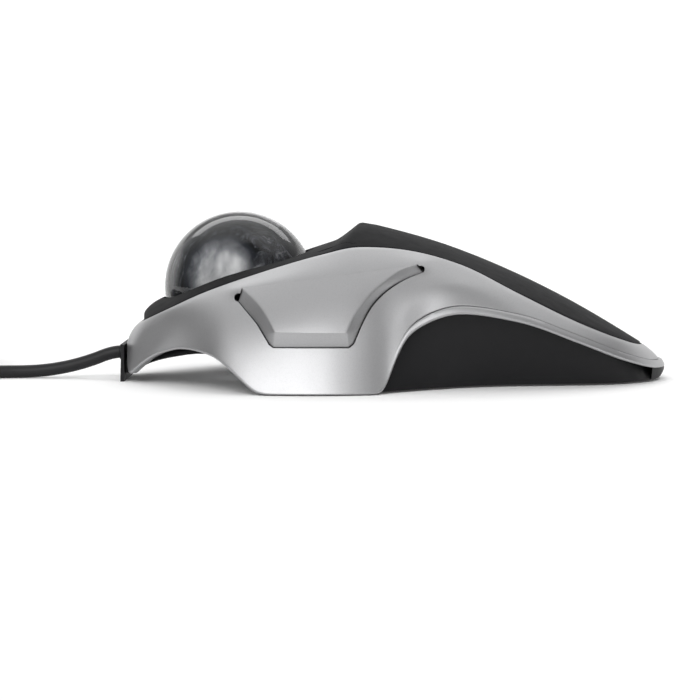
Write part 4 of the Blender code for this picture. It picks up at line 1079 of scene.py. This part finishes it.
def stage():
    """A white floor, and a studio sky: darker at the sides, a bright backdrop, soft lights, a dark panel."""
    (x0, y0), (x1, y1) = FLOOR_CORNERS
    floor = mesh_piece("floor", [(x0, y0, 0), (x1, y0, 0), (x1, y1, 0), (x0, y1, 0)], [[0, 1, 2, 3]])
    paint = Paint("floor_white").set(Specular_IOR_Level=0.2)
    paint.tone((0.98, 0.98, 0.98), 0.004, 300.0)
    paint.set(Emission_Color=(1.0, 1.0, 1.0, 1.0), Emission_Strength=FLOOR_LIFT)
    paint.sheen_drift(0.8, 0.02, 200.0)
    floor.data.materials.append(paint.material)

    world = bpy.data.worlds.new("studio")
    bpy.context.scene.world = world
    world.use_nodes = True
    tree = world.node_tree
    sky = tree.nodes["Background"]
    coords = tree.nodes.new("ShaderNodeTexCoord")
    split = tree.nodes.new("ShaderNodeSeparateXYZ")
    tree.links.new(coords.outputs["Generated"], split.inputs["Vector"])

    def ramp(socket, low, high, start, end):
        node = tree.nodes.new("ShaderNodeMapRange")
        node.interpolation_type = "SMOOTHSTEP"
        node.inputs["From Min"].default_value, node.inputs["From Max"].default_value = low, high
        node.inputs["To Min"].default_value, node.inputs["To Max"].default_value = start, end
        tree.links.new(socket, node.inputs["Value"])
        return node.outputs["Result"]

    def combine(operation, a, b):
        node = tree.nodes.new("ShaderNodeMath")
        node.operation = operation
        tree.links.new(a, node.inputs[0])
        tree.links.new(b, node.inputs[1])
        return node.outputs["Value"]

    def facing(direction):
        node = tree.nodes.new("ShaderNodeVectorMath")
        node.operation = "DOT_PRODUCT"
        node.inputs[1].default_value = Vector(direction).normalized()
        tree.links.new(coords.outputs["Generated"], node.inputs[0])
        return node.outputs["Value"]

    behind = ramp(split.outputs["Y"], 0.1, 0.6, 0.0, 1.0)
    low = ramp(split.outputs["Z"], 0.30, 0.50, BACKDROP_LEVEL, 0.0)
    backdrop = combine("MULTIPLY", behind, low)
    left = ramp(split.outputs["X"], -0.95, -0.50, LEFT_LEVEL, AROUND_LEVEL)
    right = ramp(split.outputs["X"], 0.50, 0.90, AROUND_LEVEL, RIGHT_LEVEL)
    level = combine("MAXIMUM", combine("MINIMUM", left, right), backdrop)
    for direction, strength, begin, full in GLOWS:
        level = combine("ADD", level, ramp(facing(direction), begin, full, 0.0, strength))
    direction, taken, begin, full = FLAG
    level = combine("MULTIPLY", level, ramp(facing(direction), begin, full, 1.0, 1.0 - taken))
    tree.links.new(level, sky.inputs["Strength"])
    sky.inputs["Color"].default_value = (1.0, 1.0, 1.0, 1.0)


def lights():
    """One long soft strip behind and above."""
    light = bpy.data.lights.new("rear_strip", "AREA")
    light.shape = "RECTANGLE"
    light.size, light.size_y = STRIP_SIZE
    light.energy = STRIP_POWER
    lamp = bpy.data.objects.new("rear_strip", light)
    lamp.location = STRIP_PLACE
    lamp.rotation_mode = "QUATERNION"
    lamp.rotation_quaternion = (Vector(STRIP_AIM) - Vector(STRIP_PLACE)).to_track_quat("-Z", "Y")
    bpy.context.scene.collection.objects.link(lamp)


def camera():
    view = bpy.data.cameras.new("camera")
    view.lens = LENS
    view.sensor_width = 36.0
    view.clip_start, view.clip_end = 0.01, 20.0
    obj = bpy.data.objects.new("camera", view)
    obj.location = CAMERA_PLACE
    obj.rotation_euler = (math.radians(90 - CAMERA_TILT), 0.0, 0.0)
    bpy.context.scene.collection.objects.link(obj)
    bpy.context.scene.camera = obj


# ---------------------------------------------------------------- all of it

BALL_CENTRE = tuple((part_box("ball_shell")[0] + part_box("ball_shell")[1]) / 2 / MM)
MATERIALS = make_materials()

SOFT_ANGLE = 35  # edges sharper than this stay sharp
SOFT_EDGES = {  # carried-over CAD nodes: bevel width in millimetres
    "cord_grommet": 0.15,
    "foot_left": 0.25,
    "foot_right": 0.25,
    "foot_rear": 0.25,
    "usb_plug_shell": 0.12,
    "usb_plug_tongue": 0.1,
    "left_switch": 0.2,
    "right_switch": 0.2,
    "left_switch_plunger": 0.15,
    "right_switch_plunger": 0.15,
    "usb_controller": 0.15,
    "optical_sensor": 0.15,
    "cord_header": 0.15,
    "cord_crimp_plug": 0.15,
    "crystal": 0.3,
}


def carried_over():
    """The CAD nodes that show as they are get smooth shading, fine edges and their materials."""
    slots = {row["node"]: row["material_slot"] for row in frame["record"]["subparts"]}
    for name, obj in frame["nodes"].items():
        if obj.hide_render:
            continue
        soften(name, SOFT_EDGES.get(name, 0.0))
        obj.data.materials.clear()
        obj.data.materials.append(MATERIALS[slots[name]])


def main():
    camera()
    lead = cord()
    grip = usb_plug()
    stage()
    lights()
    ribs, skin, stops, inside = fine_skin()
    tree = skin_tree(rib_curves(ribs, np.tile(np.linspace(0, 1, 61), (len(ribs), 1))))
    upper_housing(ribs, skin, stops, inside)
    button("left_button", -1, tree)
    button("right_button", 1, tree)
    palm_cover()
    ball()
    carried_over()


main()
bpy.context.scene.view_settings.view_transform = "Standard"
